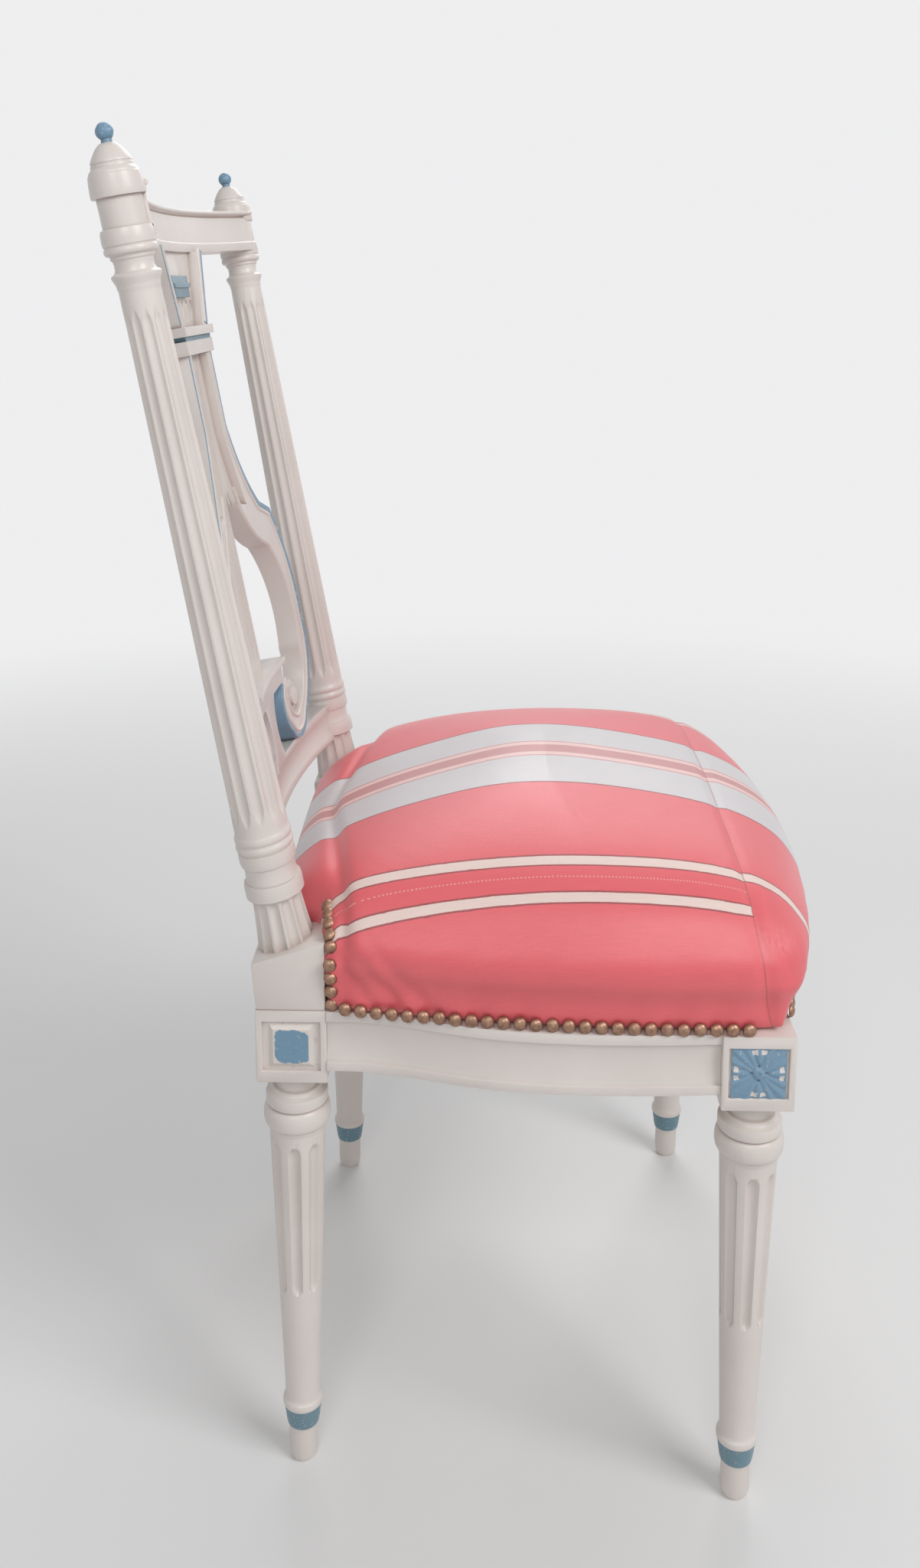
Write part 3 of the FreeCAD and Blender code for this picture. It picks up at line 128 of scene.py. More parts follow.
AMBIENT_COLOR = (0.95, 0.97, 1.0, 1)
AMBIENT_STRENGTH = 0.33
world = bpy.data.worlds.new("surround")
bpy.context.scene.world = world
world.use_nodes = True
ambient = world.node_tree.nodes["Background"]
ambient.inputs["Color"].default_value = AMBIENT_COLOR
ambient.inputs["Strength"].default_value = AMBIENT_STRENGTH
surround = add_node(world.node_tree, "ShaderNodeBackground", {"Color": STAGE_WHITE, "Strength": 1.0})
world_mix = add_node(world.node_tree, "ShaderNodeMixShader", {
    0: seen_by_eye(world.node_tree), 1: ambient.outputs[0], 2: surround.outputs[0]})
world.node_tree.links.new(world_mix.outputs[0], world.node_tree.nodes["World Output"].inputs["Surface"])

LAMPS = (("main_lamp", (-1.5, -1.9, 2.5), 1.4, 44.0), ("side_lamp", (-2.3, 0.2, 2.0), 1.0, 17.0),
         ("far_lamp", (1.9, -0.2, 2.2), 1.6, 22.0))
LIT_POINT = Vector((0, 0, 0.5))
for lamp_name, lamp_place, lamp_size, lamp_power in LAMPS:
    lamp_data = bpy.data.lights.new(lamp_name, "AREA")
    lamp_data.size = lamp_size
    lamp_data.energy = lamp_power
    lamp = bpy.data.objects.new(lamp_name, lamp_data)
    lamp.location = lamp_place
    lamp.rotation_euler = (LIT_POINT - Vector(lamp_place)).to_track_quat("-Z", "Y").to_euler()
    bpy.context.scene.collection.objects.link(lamp)

# Camera: beside the chair's right side at about standing height, with the frame let down
# so that the legs' lines stay nearly upright.

CAMERA_PLACE = Vector((-1.1013, -0.0132, 0.8964))
CAMERA_YAW = 0.0207
CAMERA_PITCH = 0.1711
CAMERA_ROLL = 0.0025
FRAME_HEIGHT_PX = 2048
FOCAL_PX = 1785.6
CENTRE_ROW_PX = 680
camera_data = bpy.data.cameras.new("camera")
camera_data.lens = camera_data.sensor_width * FOCAL_PX / FRAME_HEIGHT_PX
camera_data.shift_y = (CENTRE_ROW_PX - FRAME_HEIGHT_PX / 2) / FRAME_HEIGHT_PX
camera_data.clip_start = 0.05
camera = bpy.data.objects.new("camera", camera_data)
forward = Vector((math.cos(CAMERA_YAW) * math.cos(CAMERA_PITCH),
                  math.sin(CAMERA_YAW) * math.cos(CAMERA_PITCH), -math.sin(CAMERA_PITCH)))
level = forward.cross(Vector((0, 0, 1))).normalized()
upright = level.cross(forward)
image_right = math.cos(CAMERA_ROLL) * level + math.sin(CAMERA_ROLL) * upright
image_up = math.cos(CAMERA_ROLL) * upright - math.sin(CAMERA_ROLL) * level
axes = Matrix((image_right, image_up, -forward)).transposed().to_4x4()
camera.matrix_world = Matrix.Translation(CAMERA_PLACE) @ axes
bpy.context.scene.collection.objects.link(camera)
bpy.context.scene.camera = camera
bpy.context.scene.view_settings.view_transform = "Standard"

# Cream and blue paint: satin oil paint brushed over a pale undercoat. It is a little blotched,
# chipped along the edges, and darker in the recesses: an antique glaze and painted shade.


def effect_group(name, inputs):
    """A shader group with named inputs that is to give a colour, a roughness and a height,
    with its input and output nodes."""
    group = bpy.data.node_groups.new(name, "ShaderNodeTree")
    for label, kind, value in inputs:
        socket = group.interface.new_socket(label, in_out="INPUT", socket_type=kind)
        socket.default_value = value
    for label, kind in (("Color", "NodeSocketColor"), ("Roughness", "NodeSocketFloat"),
                        ("Height", "NodeSocketFloat")):
        group.interface.new_socket(label, in_out="OUTPUT", socket_type=kind)
    return group, add_node(group, "NodeGroupInput"), add_node(group, "NodeGroupOutput")


def give_out(group, result, color, roughness, height):
    for label, value in (("Color", color), ("Roughness", roughness), ("Height", height)):
        group.links.new(value, result.inputs[label])


def stretched(tree, place, by):
    node = add_node(tree, "ShaderNodeVectorMath", {0: place, 1: by}, operation="MULTIPLY")
    return node.outputs[0]


def mixed_color(tree, share, first, second):
    node = add_node(tree, "ShaderNodeMix", {0: share, 6: first, 7: second}, data_type="RGBA")
    return node.outputs[2]


def ranged(tree, value, low, high):
    """0 below low, 1 above high, and a straight ramp between."""
    node = add_node(tree, "ShaderNodeMapRange", {"Value": value, "From Min": low, "From Max": high})
    return node.outputs[0]


def noise_at(tree, place, scale, detail=3.0, roughness=0.55):
    node = add_node(tree, "ShaderNodeTexNoise", {
        "Vector": place, "Scale": scale, "Detail": detail, "Roughness": roughness})
    return node.outputs[0]


def closed_in(tree, reach, samples, low, high, inside=False):
    """1 where a surface is closed in within a reach, or, from inside, where it is an edge."""
    node = add_node(tree, "ShaderNodeAmbientOcclusion", {"Distance": reach}, samples=samples,
                    only_local=True, inside=inside)
    return ranged(tree, less(tree, 1.0, node.outputs["AO"]), low, high)


RECESS_REACH = 0.008
CORNER_REACH = 0.0022


def brushed_paint_group():
    group, given, result = effect_group(
        "brushed_paint",
        [("Paint", "NodeSocketColor", (0.8, 0.8, 0.8, 1)),
         ("Undercoat", "NodeSocketColor", (0.8, 0.8, 0.8, 1)),
         ("Glaze And Shade", "NodeSocketColor", (0.2, 0.12, 0.08, 1)),
         ("Glaze And Shade Amount", "NodeSocketFloat", 0.5), ("Chip Amount", "NodeSocketFloat", 0.5),
         ("Flaking", "NodeSocketFloat", 0.0), ("Stroke Scale", "NodeSocketVector", (1, 1, 0.1))])
    place = object_place(group)
    strokes = noise_at(group, stretched(group, place, given.outputs["Stroke Scale"]), 620.0, 2.0)
    blotch = ranged(group, noise_at(group, place, 11.0, 4.0), 0.35, 0.7)
    speckle = noise_at(group, place, 260.0, 3.0, 0.6)
    # Darker in recesses and along fine steps and corners: antique glaze, and painted shade where they lie
    # in shadow.
    glaze_and_shade = product(group, closed_in(group, RECESS_REACH, 8, 0.12, 0.62),
                   total(group, 0.45, product(group, blotch, 0.55)))
    corner_glaze_and_shade = closed_in(group, CORNER_REACH, 6, 0.15, 0.6)
    glaze_and_shade = math_node(group, "MAXIMUM", glaze_and_shade, product(group, corner_glaze_and_shade, 0.85))
    glaze_and_shade = math_node(group, "MULTIPLY", glaze_and_shade, given.outputs["Glaze And Shade Amount"], clamp=True)
    worn = closed_in(group, CORNER_REACH, 6, 0.35, 0.75, inside=True)
    chips = product(group, ranged(group, speckle, 0.58, 0.64), worn)
    flakes = ranged(group, noise_at(group, place, 420.0, 4.0, 0.7), 0.60, 0.63)
    chips = math_node(group, "ADD", product(group, chips, given.outputs["Chip Amount"]),
                      product(group, flakes, given.outputs["Flaking"]), clamp=True)
    shade = add_node(group, "ShaderNodeHueSaturation", {
        "Color": given.outputs["Paint"], "Value": 0.93, "Saturation": 1.08}).outputs[0]
    color = mixed_color(group, blotch, given.outputs["Paint"], shade)
    color = mixed_color(group, glaze_and_shade, color, given.outputs["Glaze And Shade"])
    color = mixed_color(group, chips, color, given.outputs["Undercoat"])
    rough = total(group, 0.30, product(group, blotch, 0.12))
    give_out(group, result, color, total(group, rough, product(group, chips, 0.3)),
             less(group, product(group, strokes, 0.5), chips))
    return group


def finish_with(name, group, values, bump_depth, **shader_values):
    """A material whose colour, roughness and relief come from an effect group."""
    material = bpy.data.materials.new(name)
    material.use_nodes = True
    tree = material.node_tree
    effect = add_node(tree, "ShaderNodeGroup", node_tree=group)
    for label, value in values.items():
        effect.inputs[label].default_value = value
    shader = tree.nodes["Principled BSDF"]
    tree.links.new(effect.outputs["Color"], shader.inputs["Base Color"])
    tree.links.new(effect.outputs["Roughness"], shader.inputs["Roughness"])
    bump = add_node(tree, "ShaderNodeBump", {
        "Height": effect.outputs["Height"], "Distance": bump_depth, "Strength": 1.0})
    tree.links.new(bump.outputs[0], shader.inputs["Normal"])
    for label, value in shader_values.items():
        shader.inputs[label.replace("_", " ")].default_value = value
    return material


CREAM = (0.72, 0.66, 0.62, 1)
CHIPPED_CREAM = (0.50, 0.44, 0.37, 1)
# Brown of the antique glaze, also used as painted shade in the recesses.
ANTIQUE_GLAZE_AND_SHADE = (0.30, 0.17, 0.12, 1)
SKY_BLUE = (0.19, 0.315, 0.43, 1)
CHIPPED_BLUE = (0.60, 0.60, 0.58, 1)
DULL_BLUE = (0.15, 0.26, 0.32, 1)
BRUSH_RELIEF = 0.00012
UPRIGHT_STROKES = (1, 1, 0.08)
LEVEL_STROKES = (0.1, 0.1, 1)
SHORT_STROKES = (1, 1, 0.15)
brushed_paint = brushed_paint_group()


def cream_paint(name, glaze_and_shade_amount, chips, strokes):
    return finish_with(name, brushed_paint, {
        "Paint": CREAM, "Undercoat": CHIPPED_CREAM, "Glaze And Shade": ANTIQUE_GLAZE_AND_SHADE, "Glaze And Shade Amount": glaze_and_shade_amount,
        "Chip Amount": chips, "Stroke Scale": strokes}, BRUSH_RELIEF, Coat_Weight=0.15, Coat_Roughness=0.25)


# The first number sets how dark the recesses are painted, as antique glaze and painted shade.
cream_upright = cream_paint("cream_paint_upright", 0.5, 0.5, UPRIGHT_STROKES)
cream_level = cream_paint("cream_paint_level", 0.8, 0.6, LEVEL_STROKES)
# The blue paints are darker in their recesses too: antique glaze and painted shade.
blue_paint = finish_with("blue_paint", brushed_paint, {
    "Paint": SKY_BLUE, "Undercoat": CHIPPED_BLUE, "Glaze And Shade": (0.05, 0.09, 0.13, 1), "Glaze And Shade Amount": 0.7,
    "Chip Amount": 0.9, "Flaking": 0.5, "Stroke Scale": SHORT_STROKES}, 2 * BRUSH_RELIEF, Coat_Weight=0.1,
    Coat_Roughness=0.3)
dull_blue = finish_with("dull_blue_paint", brushed_paint, {
    "Paint": DULL_BLUE, "Undercoat": CHIPPED_BLUE, "Glaze And Shade": (0.05, 0.07, 0.08, 1), "Glaze And Shade Amount": 0.5,
    "Chip Amount": 0.9, "Flaking": 0.7, "Stroke Scale": SHORT_STROKES}, 2 * BRUSH_RELIEF)

# Front legs: round legs turned from one square stile with the block above. A tapered foot
# with a blue band below its ring, a shaft with eight flutes, and a torus, collar and neck.

MM = 0.001
REAR_LEG_Y = 125.44 * MM
FRONT_LEG_X = 205.1 * MM
FRONT_LEG_Y = REAR_LEG_Y - 328.7 * MM
REAR_LEG_X = 178.6 * MM
BLOCK_SIDE = 51.2 * MM
BLOCK_LOW_Z = 330.2 * MM
FRAME_TOP_Z = 386.2 * MM
MID_BLOCK_Z = (BLOCK_LOW_Z + FRAME_TOP_Z) / 2
SUNK_SIDE = 38.0 * MM
SUNK_DEPTH = 3.0 * MM
SUNK_DRAFT = 0.3 * MM
EDGE_ROUND = 0.9 * MM
LEG_RING_R = 15.2 * MM
LEG_RING_Z = 52.4 * MM
LEG_TORUS_R = 24.7 * MM
LEG_SHAFT_TOP_Z = 283.0 * MM
LEG_SHAFT_LOW_R = 13.0 * MM
LEG_SHAFT_TOP_R = 20.7 * MM
LEG_FOOT = ((0.553, 0), (0.69, 0.06), (0.717, 0.229), (0.70, 0.573), (0.80, 0.573), (0.941, 0.905),
            (1, 0.924), (1, 1), (0.9, 1.03), (0.87, 1.06))
LEG_HEAD = ((0.842, -0.01), (0.879, 0.02), (0.879, 0.064), (0.93, 0.078), (0.972, 0.115), (0.995, 0.17),
            (1, 0.233), (0.99, 0.3), (0.955, 0.36), (0.9, 0.4), (0.862, 0.412), (0.855, 0.43),
            (0.915, 0.44), (0.925, 0.46), (0.925, 0.585), (0.905, 0.61), (0.8, 0.635), (0.74, 0.665),
            (0.72, 0.7), (0.63, 0.71), (0.615, 0.74), (0.607, 1))
LEG_SHAFT_LOW_Z = 58 * MM
LEG_SHAFT_END_Z = 282 * MM
LEG_FLUTES = 8
LEG_RIB_SHARE = 0.44
LEG_FLUTE_DEPTH = 0.20
LEG_FLUTE_LOW_Z = 150 * MM
LEG_FLUTE_TOP_Z = 274 * MM
LEG_FLUTE_END = 12 * MM
LEG_STEPS = 128
BLUE_BAND_LOW_Z = 31.0 * MM
BLUE_BAND_TOP_Z = 47.5 * MM


def softened(points, rounds):
    """Profile with its corners cut, so that its mouldings are round."""
    for _ in range(rounds):
        cut = [points[0]]
        for (r0, z0), (r1, z1) in zip(points, points[1:]):
            cut.append((0.75 * r0 + 0.25 * r1, 0.75 * z0 + 0.25 * z1))
            cut.append((0.25 * r0 + 0.75 * r1, 0.25 * z0 + 0.75 * z1))
        cut.append(points[-1])
        points = cut
    return points


def scaled(shares, radius, low, high):
    return [(radius * across, low + (high - low) * up) for across, up in shares]


def tapered_rows(low, high, fine_spans, coarse=0.010, fine=0.0013):
    """(radius, height) rows of a straight taper, close together within the fine spans."""
    rows = []
    z = low[1]
    while z < high[1]:
        share = (z - low[1]) / (high[1] - low[1])
        rows.append((low[0] + share * (high[0] - low[0]), z))
        near = any(start - coarse < z < end for start, end in fine_spans)
        z += fine if near else coarse
    rows.append(high)
    return rows


def turned(profile, steps):
    """Round shape on the Z axis from (radius, height) rows, closed at both ends."""
    shape = bmesh.new()
    points = [(0, profile[0][1])] + list(profile) + [(0, profile[-1][1])]
    verts = [shape.verts.new((r, 0, z)) for r, z in points]
    edges = [shape.edges.new(pair) for pair in zip(verts, verts[1:])]
    bmesh.ops.spin(shape, geom=verts + edges, cent=(0, 0, 0), axis=(0, 0, 1), angle=math.tau,
                   steps=steps, use_merge=True)
    bmesh.ops.remove_doubles(shape, verts=shape.verts, dist=1e-6)
    bmesh.ops.recalc_face_normals(shape, faces=shape.faces)
    return shape


def carve_flutes(shape, count, rib_share, depth_share, low, high, pointed=False):
    """Hollow flutes between ribs on a turned shape, with round or pointed ends."""
    hollow = 1 - rib_share
    for vert in shape.verts:
        radius = math.hypot(vert.co.x, vert.co.y)
        if not low < vert.co.z < high or radius < 1e-5:
            continue
        reach = math.pi * radius / count * (2.2 if pointed else 1.0)
        end = min(vert.co.z - low, high - vert.co.z)
        fade = max(0.0, 1 - end / reach)
        swell = 1 - fade ** 1.4 if pointed else math.sqrt(1 - fade ** 2)
        turn = (math.atan2(vert.co.y, vert.co.x) * count / math.tau + (0.0 if pointed else 0.5)) % 1
        across = abs(turn - 0.5) * 2
        if across < hollow * swell:
            scoop = math.sqrt(1 - (across / (hollow * swell)) ** 2) * swell
            sink = 1 - depth_share * scoop
            vert.co.x *= sink
            vert.co.y *= sink


def cube_at(centre, size):
    shape = bmesh.new()
    bmesh.ops.create_cube(shape, size=1.0)
    bmesh.ops.scale(shape, vec=size, verts=shape.verts)
    bmesh.ops.translate(shape, vec=centre, verts=shape.verts)
    return shape


def sunk_directions(centre_x, outer_face):
    """Where a block's two sunk squares face: out to the side, and to the front or back."""
    return Vector((math.copysign(1, centre_x), 0, 0)), Vector((0, outer_face, 0))


def square_block(centre_x, centre_y, outer_face):
    """Square block with a sunk square on its outer side and on its front or back."""
    shape = cube_at((centre_x, centre_y, MID_BLOCK_Z), (BLOCK_SIDE, BLOCK_SIDE, FRAME_TOP_Z - BLOCK_LOW_Z))
    for direction in sunk_directions(centre_x, outer_face):
        face = max(shape.faces, key=lambda f: f.normal.dot(direction) + f.calc_area())
        bmesh.ops.inset_individual(shape, faces=[face], thickness=(BLOCK_SIDE - SUNK_SIDE) / 2)
        for vert in face.verts:
            vert.co.z = MID_BLOCK_Z + math.copysign(SUNK_SIDE / 2, vert.co.z - MID_BLOCK_Z)
        bmesh.ops.inset_individual(shape, faces=[face], thickness=SUNK_DRAFT)
        for vert in face.verts:
            vert.co -= direction * SUNK_DEPTH
    return shape


def bevel_corners(shape, width, angle=0.6, segments=2):
    """Round off the edges that are sharper than an angle."""
    sharp = [e for e in shape.edges if e.is_manifold and e.calc_face_angle(0) > angle]
    bmesh.ops.bevel(shape, geom=sharp, offset=width, offset_type="OFFSET", segments=segments,
                    profile=0.5, affect="EDGES", material=-1, clamp_overlap=True)


def joined_shape(shapes):
    """One bmesh from several."""
    whole = bmesh.new()
    for shape in shapes:
        mesh = bpy.data.meshes.new("part")
        shape.to_mesh(mesh)
        shape.free()
        whole.from_mesh(mesh)
        bpy.data.meshes.remove(mesh)
    return whole


def smooth_by_angle(piece, angle=0.6):
    piece.data.shade_smooth()
    piece.data.set_sharp_from_angle(angle=angle)


def turned_leg():
    """Round leg on the Z axis, from the floor to the underside of its block."""
    foot = softened(scaled(LEG_FOOT, LEG_RING_R, 0, LEG_RING_Z), 2)
    head = scaled(LEG_HEAD, LEG_TORUS_R, LEG_SHAFT_TOP_Z, BLOCK_LOW_Z)
    shaft = tapered_rows((LEG_SHAFT_LOW_R, LEG_SHAFT_LOW_Z), (LEG_SHAFT_TOP_R, LEG_SHAFT_END_Z),
                         ((LEG_FLUTE_LOW_Z, LEG_FLUTE_LOW_Z + LEG_FLUTE_END),
                          (LEG_FLUTE_TOP_Z - LEG_FLUTE_END, LEG_FLUTE_TOP_Z)))
    leg = turned(foot + shaft + head, LEG_STEPS)
    carve_flutes(leg, LEG_FLUTES, LEG_RIB_SHARE, LEG_FLUTE_DEPTH, LEG_FLUTE_LOW_Z, LEG_FLUTE_TOP_Z)
    return leg


def leg_and_block(leg_x, leg_y, outer_face):
    """A turned leg and the square block over it, where they stand."""
    leg = turned_leg()
    bmesh.ops.translate(leg, vec=(leg_x, leg_y, 0), verts=leg.verts)
    block = square_block(leg_x, leg_y, outer_face)
    bevel_corners(block, EDGE_ROUND)
    return [leg, block]


def paint_leg(piece):
    """Cream all over, with a blue band below the ring of the foot."""
    piece.data.materials.append(cream_upright)
    piece.data.materials.append(dull_blue)
    for face in piece.data.polygons:
        if BLUE_BAND_LOW_Z < face.center.z < BLUE_BAND_TOP_Z:
            face.material_index = 1


SIDES = ((1, "left"), (-1, "right"))
for side, side_name in SIDES:
    front_leg = new_piece("turned_front_leg_" + side_name, joined_shape(
        leg_and_block(side * FRONT_LEG_X, FRONT_LEG_Y, -1)))
    smooth_by_angle(front_leg)
    paint_leg(front_leg)
    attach(front_leg, "root")
    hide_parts("front_leg_" + side_name)

# Rear posts: leg, block, plain upper block and leaning fluted post, all from one stile.
# Twelve pointed flutes run between the foot rings and a turned capital under the neck.

BACK_LEAN = math.radians(10.26)
POST_SPLAY = math.radians(2.587)
FOOT_RING_Z = 475.6 * MM
BACK_Y = REAR_LEG_Y + 14.7 * MM
UPPER_BLOCK_SIDE = 49.6 * MM
UPPER_FRONT_Z = 437.0 * MM
UPPER_BACK_Z = 421.0 * MM
UPPER_SLANT = 3.0 * MM
BASE_LOW_S = -55.5 * MM
FOOT_RING_S = -10.2 * MM
SHAFT_LOW_S = 43.0 * MM
SHAFT_TOP_S = 421.0 * MM
NECK_TOP_S = 484.5 * MM
CAP_TOP_S = 503.0 * MM
FOOT_RING_R = 21.1 * MM
NECK_R = 15.0 * MM
CAP_R = 18.2 * MM
FOOT_RINGS = ((1, 0.01), (1, 0.218), (0.877, 0.222), (0.858, 0.464), (0.962, 0.468),
              (0.962, 0.654), (0.915, 0.669), (0.986, 0.707), (0.986, 0.756), (0.915, 0.793),
              (0.976, 0.829), (0.976, 0.878), (0.915, 0.93))
CAPITAL = ((0.96, 0.12), (0.96, 0.17), (1.107, 0.284), (1.107, 0.321), (0.867, 0.367),
           (0.867, 0.528), (0.967, 0.551), (0.967, 0.606), (1.107, 0.619), (1.18, 0.651),
           (1.18, 0.706), (1.113, 0.739), (1.193, 0.766), (1.167, 0.986), (1, 1.01))
CAP = ((0.978, 0), (1, 0.108), (0.951, 0.757), (0.896, 0.805), (0.896, 0.87), (0.78, 1))
CAPITAL_HEIGHT = 43.6 * MM
NECK_LOW_S = SHAFT_TOP_S + 45 * MM
POST_BASE_LOW_R = 21.5 * MM
POST_BASE_TOP_R = 17.5 * MM
POST_BASE_ROWS = 30
POST_SHAFT_LOW_R = 19.3 * MM
POST_SHAFT_TOP_R = 13.9 * MM
POST_FLUTES = 12
POST_RIB_SHARE = 0.30
POST_FLUTE_DEPTH = 0.125
POST_FLUTE_END = 14 * MM
BASE_RIB_SHARE = 0.26
BASE_FLUTE_DEPTH = 0.14
POST_STEPS = 144


def in_back(side=0):
    """Matrix from back axes, or from a post's own axis, to the chair."""
    lean = Matrix.Translation((0, BACK_Y, FOOT_RING_Z)) @ Matrix.Rotation(-BACK_LEAN, 4, "X")
    if side == 0:
        return lean
    splay = Matrix.Rotation(side * POST_SPLAY, 4, "Y")
    return lean @ Matrix.Translation((side * REAR_LEG_X, 0, 0)) @ splay


def leaning_post():
    base = []
    for k in range(POST_BASE_ROWS + 1):
        share = k / POST_BASE_ROWS
        radius = POST_BASE_TOP_R + (1 - share) ** 1.5 * (POST_BASE_LOW_R - POST_BASE_TOP_R)
        base.append((radius, BASE_LOW_S + share * (FOOT_RING_S - BASE_LOW_S)))
    rings = softened(scaled(FOOT_RINGS, FOOT_RING_R, FOOT_RING_S, SHAFT_LOW_S), 1)
    flute_low, flute_high = SHAFT_LOW_S + 4 * MM, SHAFT_TOP_S - 9 * MM
    shaft = tapered_rows(
        (POST_SHAFT_LOW_R, SHAFT_LOW_S + 0.5 * MM), (POST_SHAFT_TOP_R, SHAFT_TOP_S + 4 * MM),
        ((flute_low, flute_low + POST_FLUTE_END), (flute_high - POST_FLUTE_END, flute_high)))
    capital = softened(scaled(CAPITAL, NECK_R, SHAFT_TOP_S, SHAFT_TOP_S + CAPITAL_HEIGHT), 1)
    cap = softened(scaled(CAP, CAP_R, NECK_TOP_S, CAP_TOP_S), 1)
    neck = [(NECK_R, NECK_LOW_S), (NECK_R, NECK_TOP_S)]
    post = turned(base + rings + shaft + capital + neck + cap, POST_STEPS)
    carve_flutes(post, POST_FLUTES, POST_RIB_SHARE, POST_FLUTE_DEPTH, flute_low, flute_high, pointed=True)
    carve_flutes(post, POST_FLUTES, BASE_RIB_SHARE, BASE_FLUTE_DEPTH, BASE_LOW_S + 3 * MM,
                 FOOT_RING_S - 1.5 * MM)
    return post


def upper_block(side):
    """Plain block above the seat frame, its top sloping down to the back."""
    height = UPPER_BACK_Z - FRAME_TOP_Z
    middle_z = FRAME_TOP_Z + height / 2
    shape = cube_at((side * REAR_LEG_X, REAR_LEG_Y, middle_z), (UPPER_BLOCK_SIDE, UPPER_BLOCK_SIDE, height))
    for vert in shape.verts:
        if vert.co.z > middle_z:
            if vert.co.y < REAR_LEG_Y:
                vert.co.z = UPPER_FRONT_Z
            else:
                vert.co.y += UPPER_SLANT
    bevel_corners(shape, EDGE_ROUND)
    return shape


for side, side_name in SIDES:
    post_shape = leaning_post()
    bmesh.ops.transform(post_shape, matrix=in_back(side), verts=post_shape.verts)
    leg_shapes = leg_and_block(side * REAR_LEG_X, REAR_LEG_Y, 1)
    rear_post = new_piece("fluted_rear_post_" + side_name, joined_shape(
        leg_shapes + [upper_block(side), post_shape]))
    smooth_by_angle(rear_post)
    paint_leg(rear_post)
    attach(rear_post, "root")
    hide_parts("rear_post_" + side_name)

# Finials: a turned dome with a groove, and a small neck that carries a ball. The ball is
# painted blue and chipped.

DOME_HEIGHT = 15.4 * MM
BALL_R = 5.9 * MM
BALL_S = CAP_TOP_S + DOME_HEIGHT + 1.2 * BALL_R
BALL_PAINT_S = CAP_TOP_S + DOME_HEIGHT + 0.4 * MM
BALL_ROWS = 16
BALL_START = -math.pi / 2 + 0.64
BALL_TURN = math.pi - 0.68
BALL_DENTS = 0.35 * MM
FINIAL_STEPS = 64


def finial_profile():
    """Rows of the dome with its groove, and of the ball on its neck."""
    rim = 0.77 * CAP_R
    dome = ((rim, -0.3 * MM), (rim, 1.9 * MM), (0.955 * rim, 2.3 * MM), (0.955 * rim, 3.0 * MM),
            (0.985 * rim, 3.4 * MM), (0.93 * rim, 5.4 * MM), (0.75 * rim, 9.6 * MM),
            (0.56 * rim, 13.2 * MM), (5.0 * MM, DOME_HEIGHT), (3.7 * MM, DOME_HEIGHT + 0.3 * MM))
    rows = [(r, CAP_TOP_S + up) for r, up in softened(dome, 1)]
    for k in range(BALL_ROWS + 1):
        turn = BALL_START + k / BALL_ROWS * BALL_TURN
        rows.append((BALL_R * math.cos(turn), BALL_S + BALL_R * math.sin(turn)))
    return rows


finial_shapes = []
for side, _ in SIDES:
    dome_shape = turned(finial_profile(), FINIAL_STEPS)
    for vert in dome_shape.verts:
        if vert.co.z > BALL_S - BALL_R:
            vert.co += BALL_DENTS * noise.noise(vert.co * 260 + Vector((side * 7, 0, 0))) * vert.normal
    for face in dome_shape.faces:
        face.material_index = 1 if face.calc_center_median().z > BALL_PAINT_S else 0
    bmesh.ops.transform(dome_shape, matrix=in_back(side), verts=dome_shape.verts)
    finial_shapes.append(dome_shape)
finials = new_piece("turned_finials", joined_shape(finial_shapes))
smooth_by_angle(finials)
finials.data.materials.append(cream_upright)
finials.data.materials.append(blue_paint)
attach(finials, "root")
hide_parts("finials")

# Seat rails and back rails: moulded boards tenoned into the blocks and posts. Their edges
# are eased and painted with the grain.


def frame_shape(node, apart=2e-6):
    """A copy of a piece of the frame as one closed skin."""
    shape = bmesh.new()
    shape.from_mesh(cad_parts[node].data)
    bmesh.ops.transform(shape, matrix=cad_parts[node].matrix_world, verts=shape.verts)
    bmesh.ops.remove_doubles(shape, verts=shape.verts, dist=apart)
    return shape


EASED_ANGLE = 0.5


def eased_piece(node, width, material):
    """A frame piece with its edges rounded off, in place of the plain one."""
    shape = frame_shape(node)
    bmesh.ops.dissolve_limit(shape, angle_limit=0.01, verts=shape.verts, edges=shape.edges)
    for face in shape.faces:
        face.material_index = 0
    bevel_corners(shape, width, angle=EASED_ANGLE)
    piece = new_piece("eased_" + node, shape)
    smooth_by_angle(piece, EASED_ANGLE)
    piece.data.materials.clear()
    piece.data.materials.append(material)
    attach(piece, "root")
    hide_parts(node)
    return piece


for rail in ("front_rail", "rear_rail", "side_rail_left", "side_rail_right", "crest_rail",
             "lower_back_rail"):
    eased_piece(rail, 0.5 * MM, cream_level)

# Lyre: head, strings, base and two scrolled arms, sawn from bowed boards and carved. The
# outer front edge is lined in blue, and the scrolls' own edges are painted blue.

LYRE_FRONT = -4.0 * MM
LYRE_HALF_WIDTH = 132.5 * MM
LYRE_LOW_S = 22.5 * MM
LYRE_HEIGHT = 351.5 * MM
PLINTH_LOW_S = 80.0 * MM
COLLAR_LOW_S = 374.0 * MM
HEAD_LOW_S = 396.0 * MM
HEAD_TOP_S = 457.0 * MM
NECK_HALF = 43.0 * MM
BOW_RADIUS = 548.5 * MM
BOW_DEPTH = 18.5 * MM
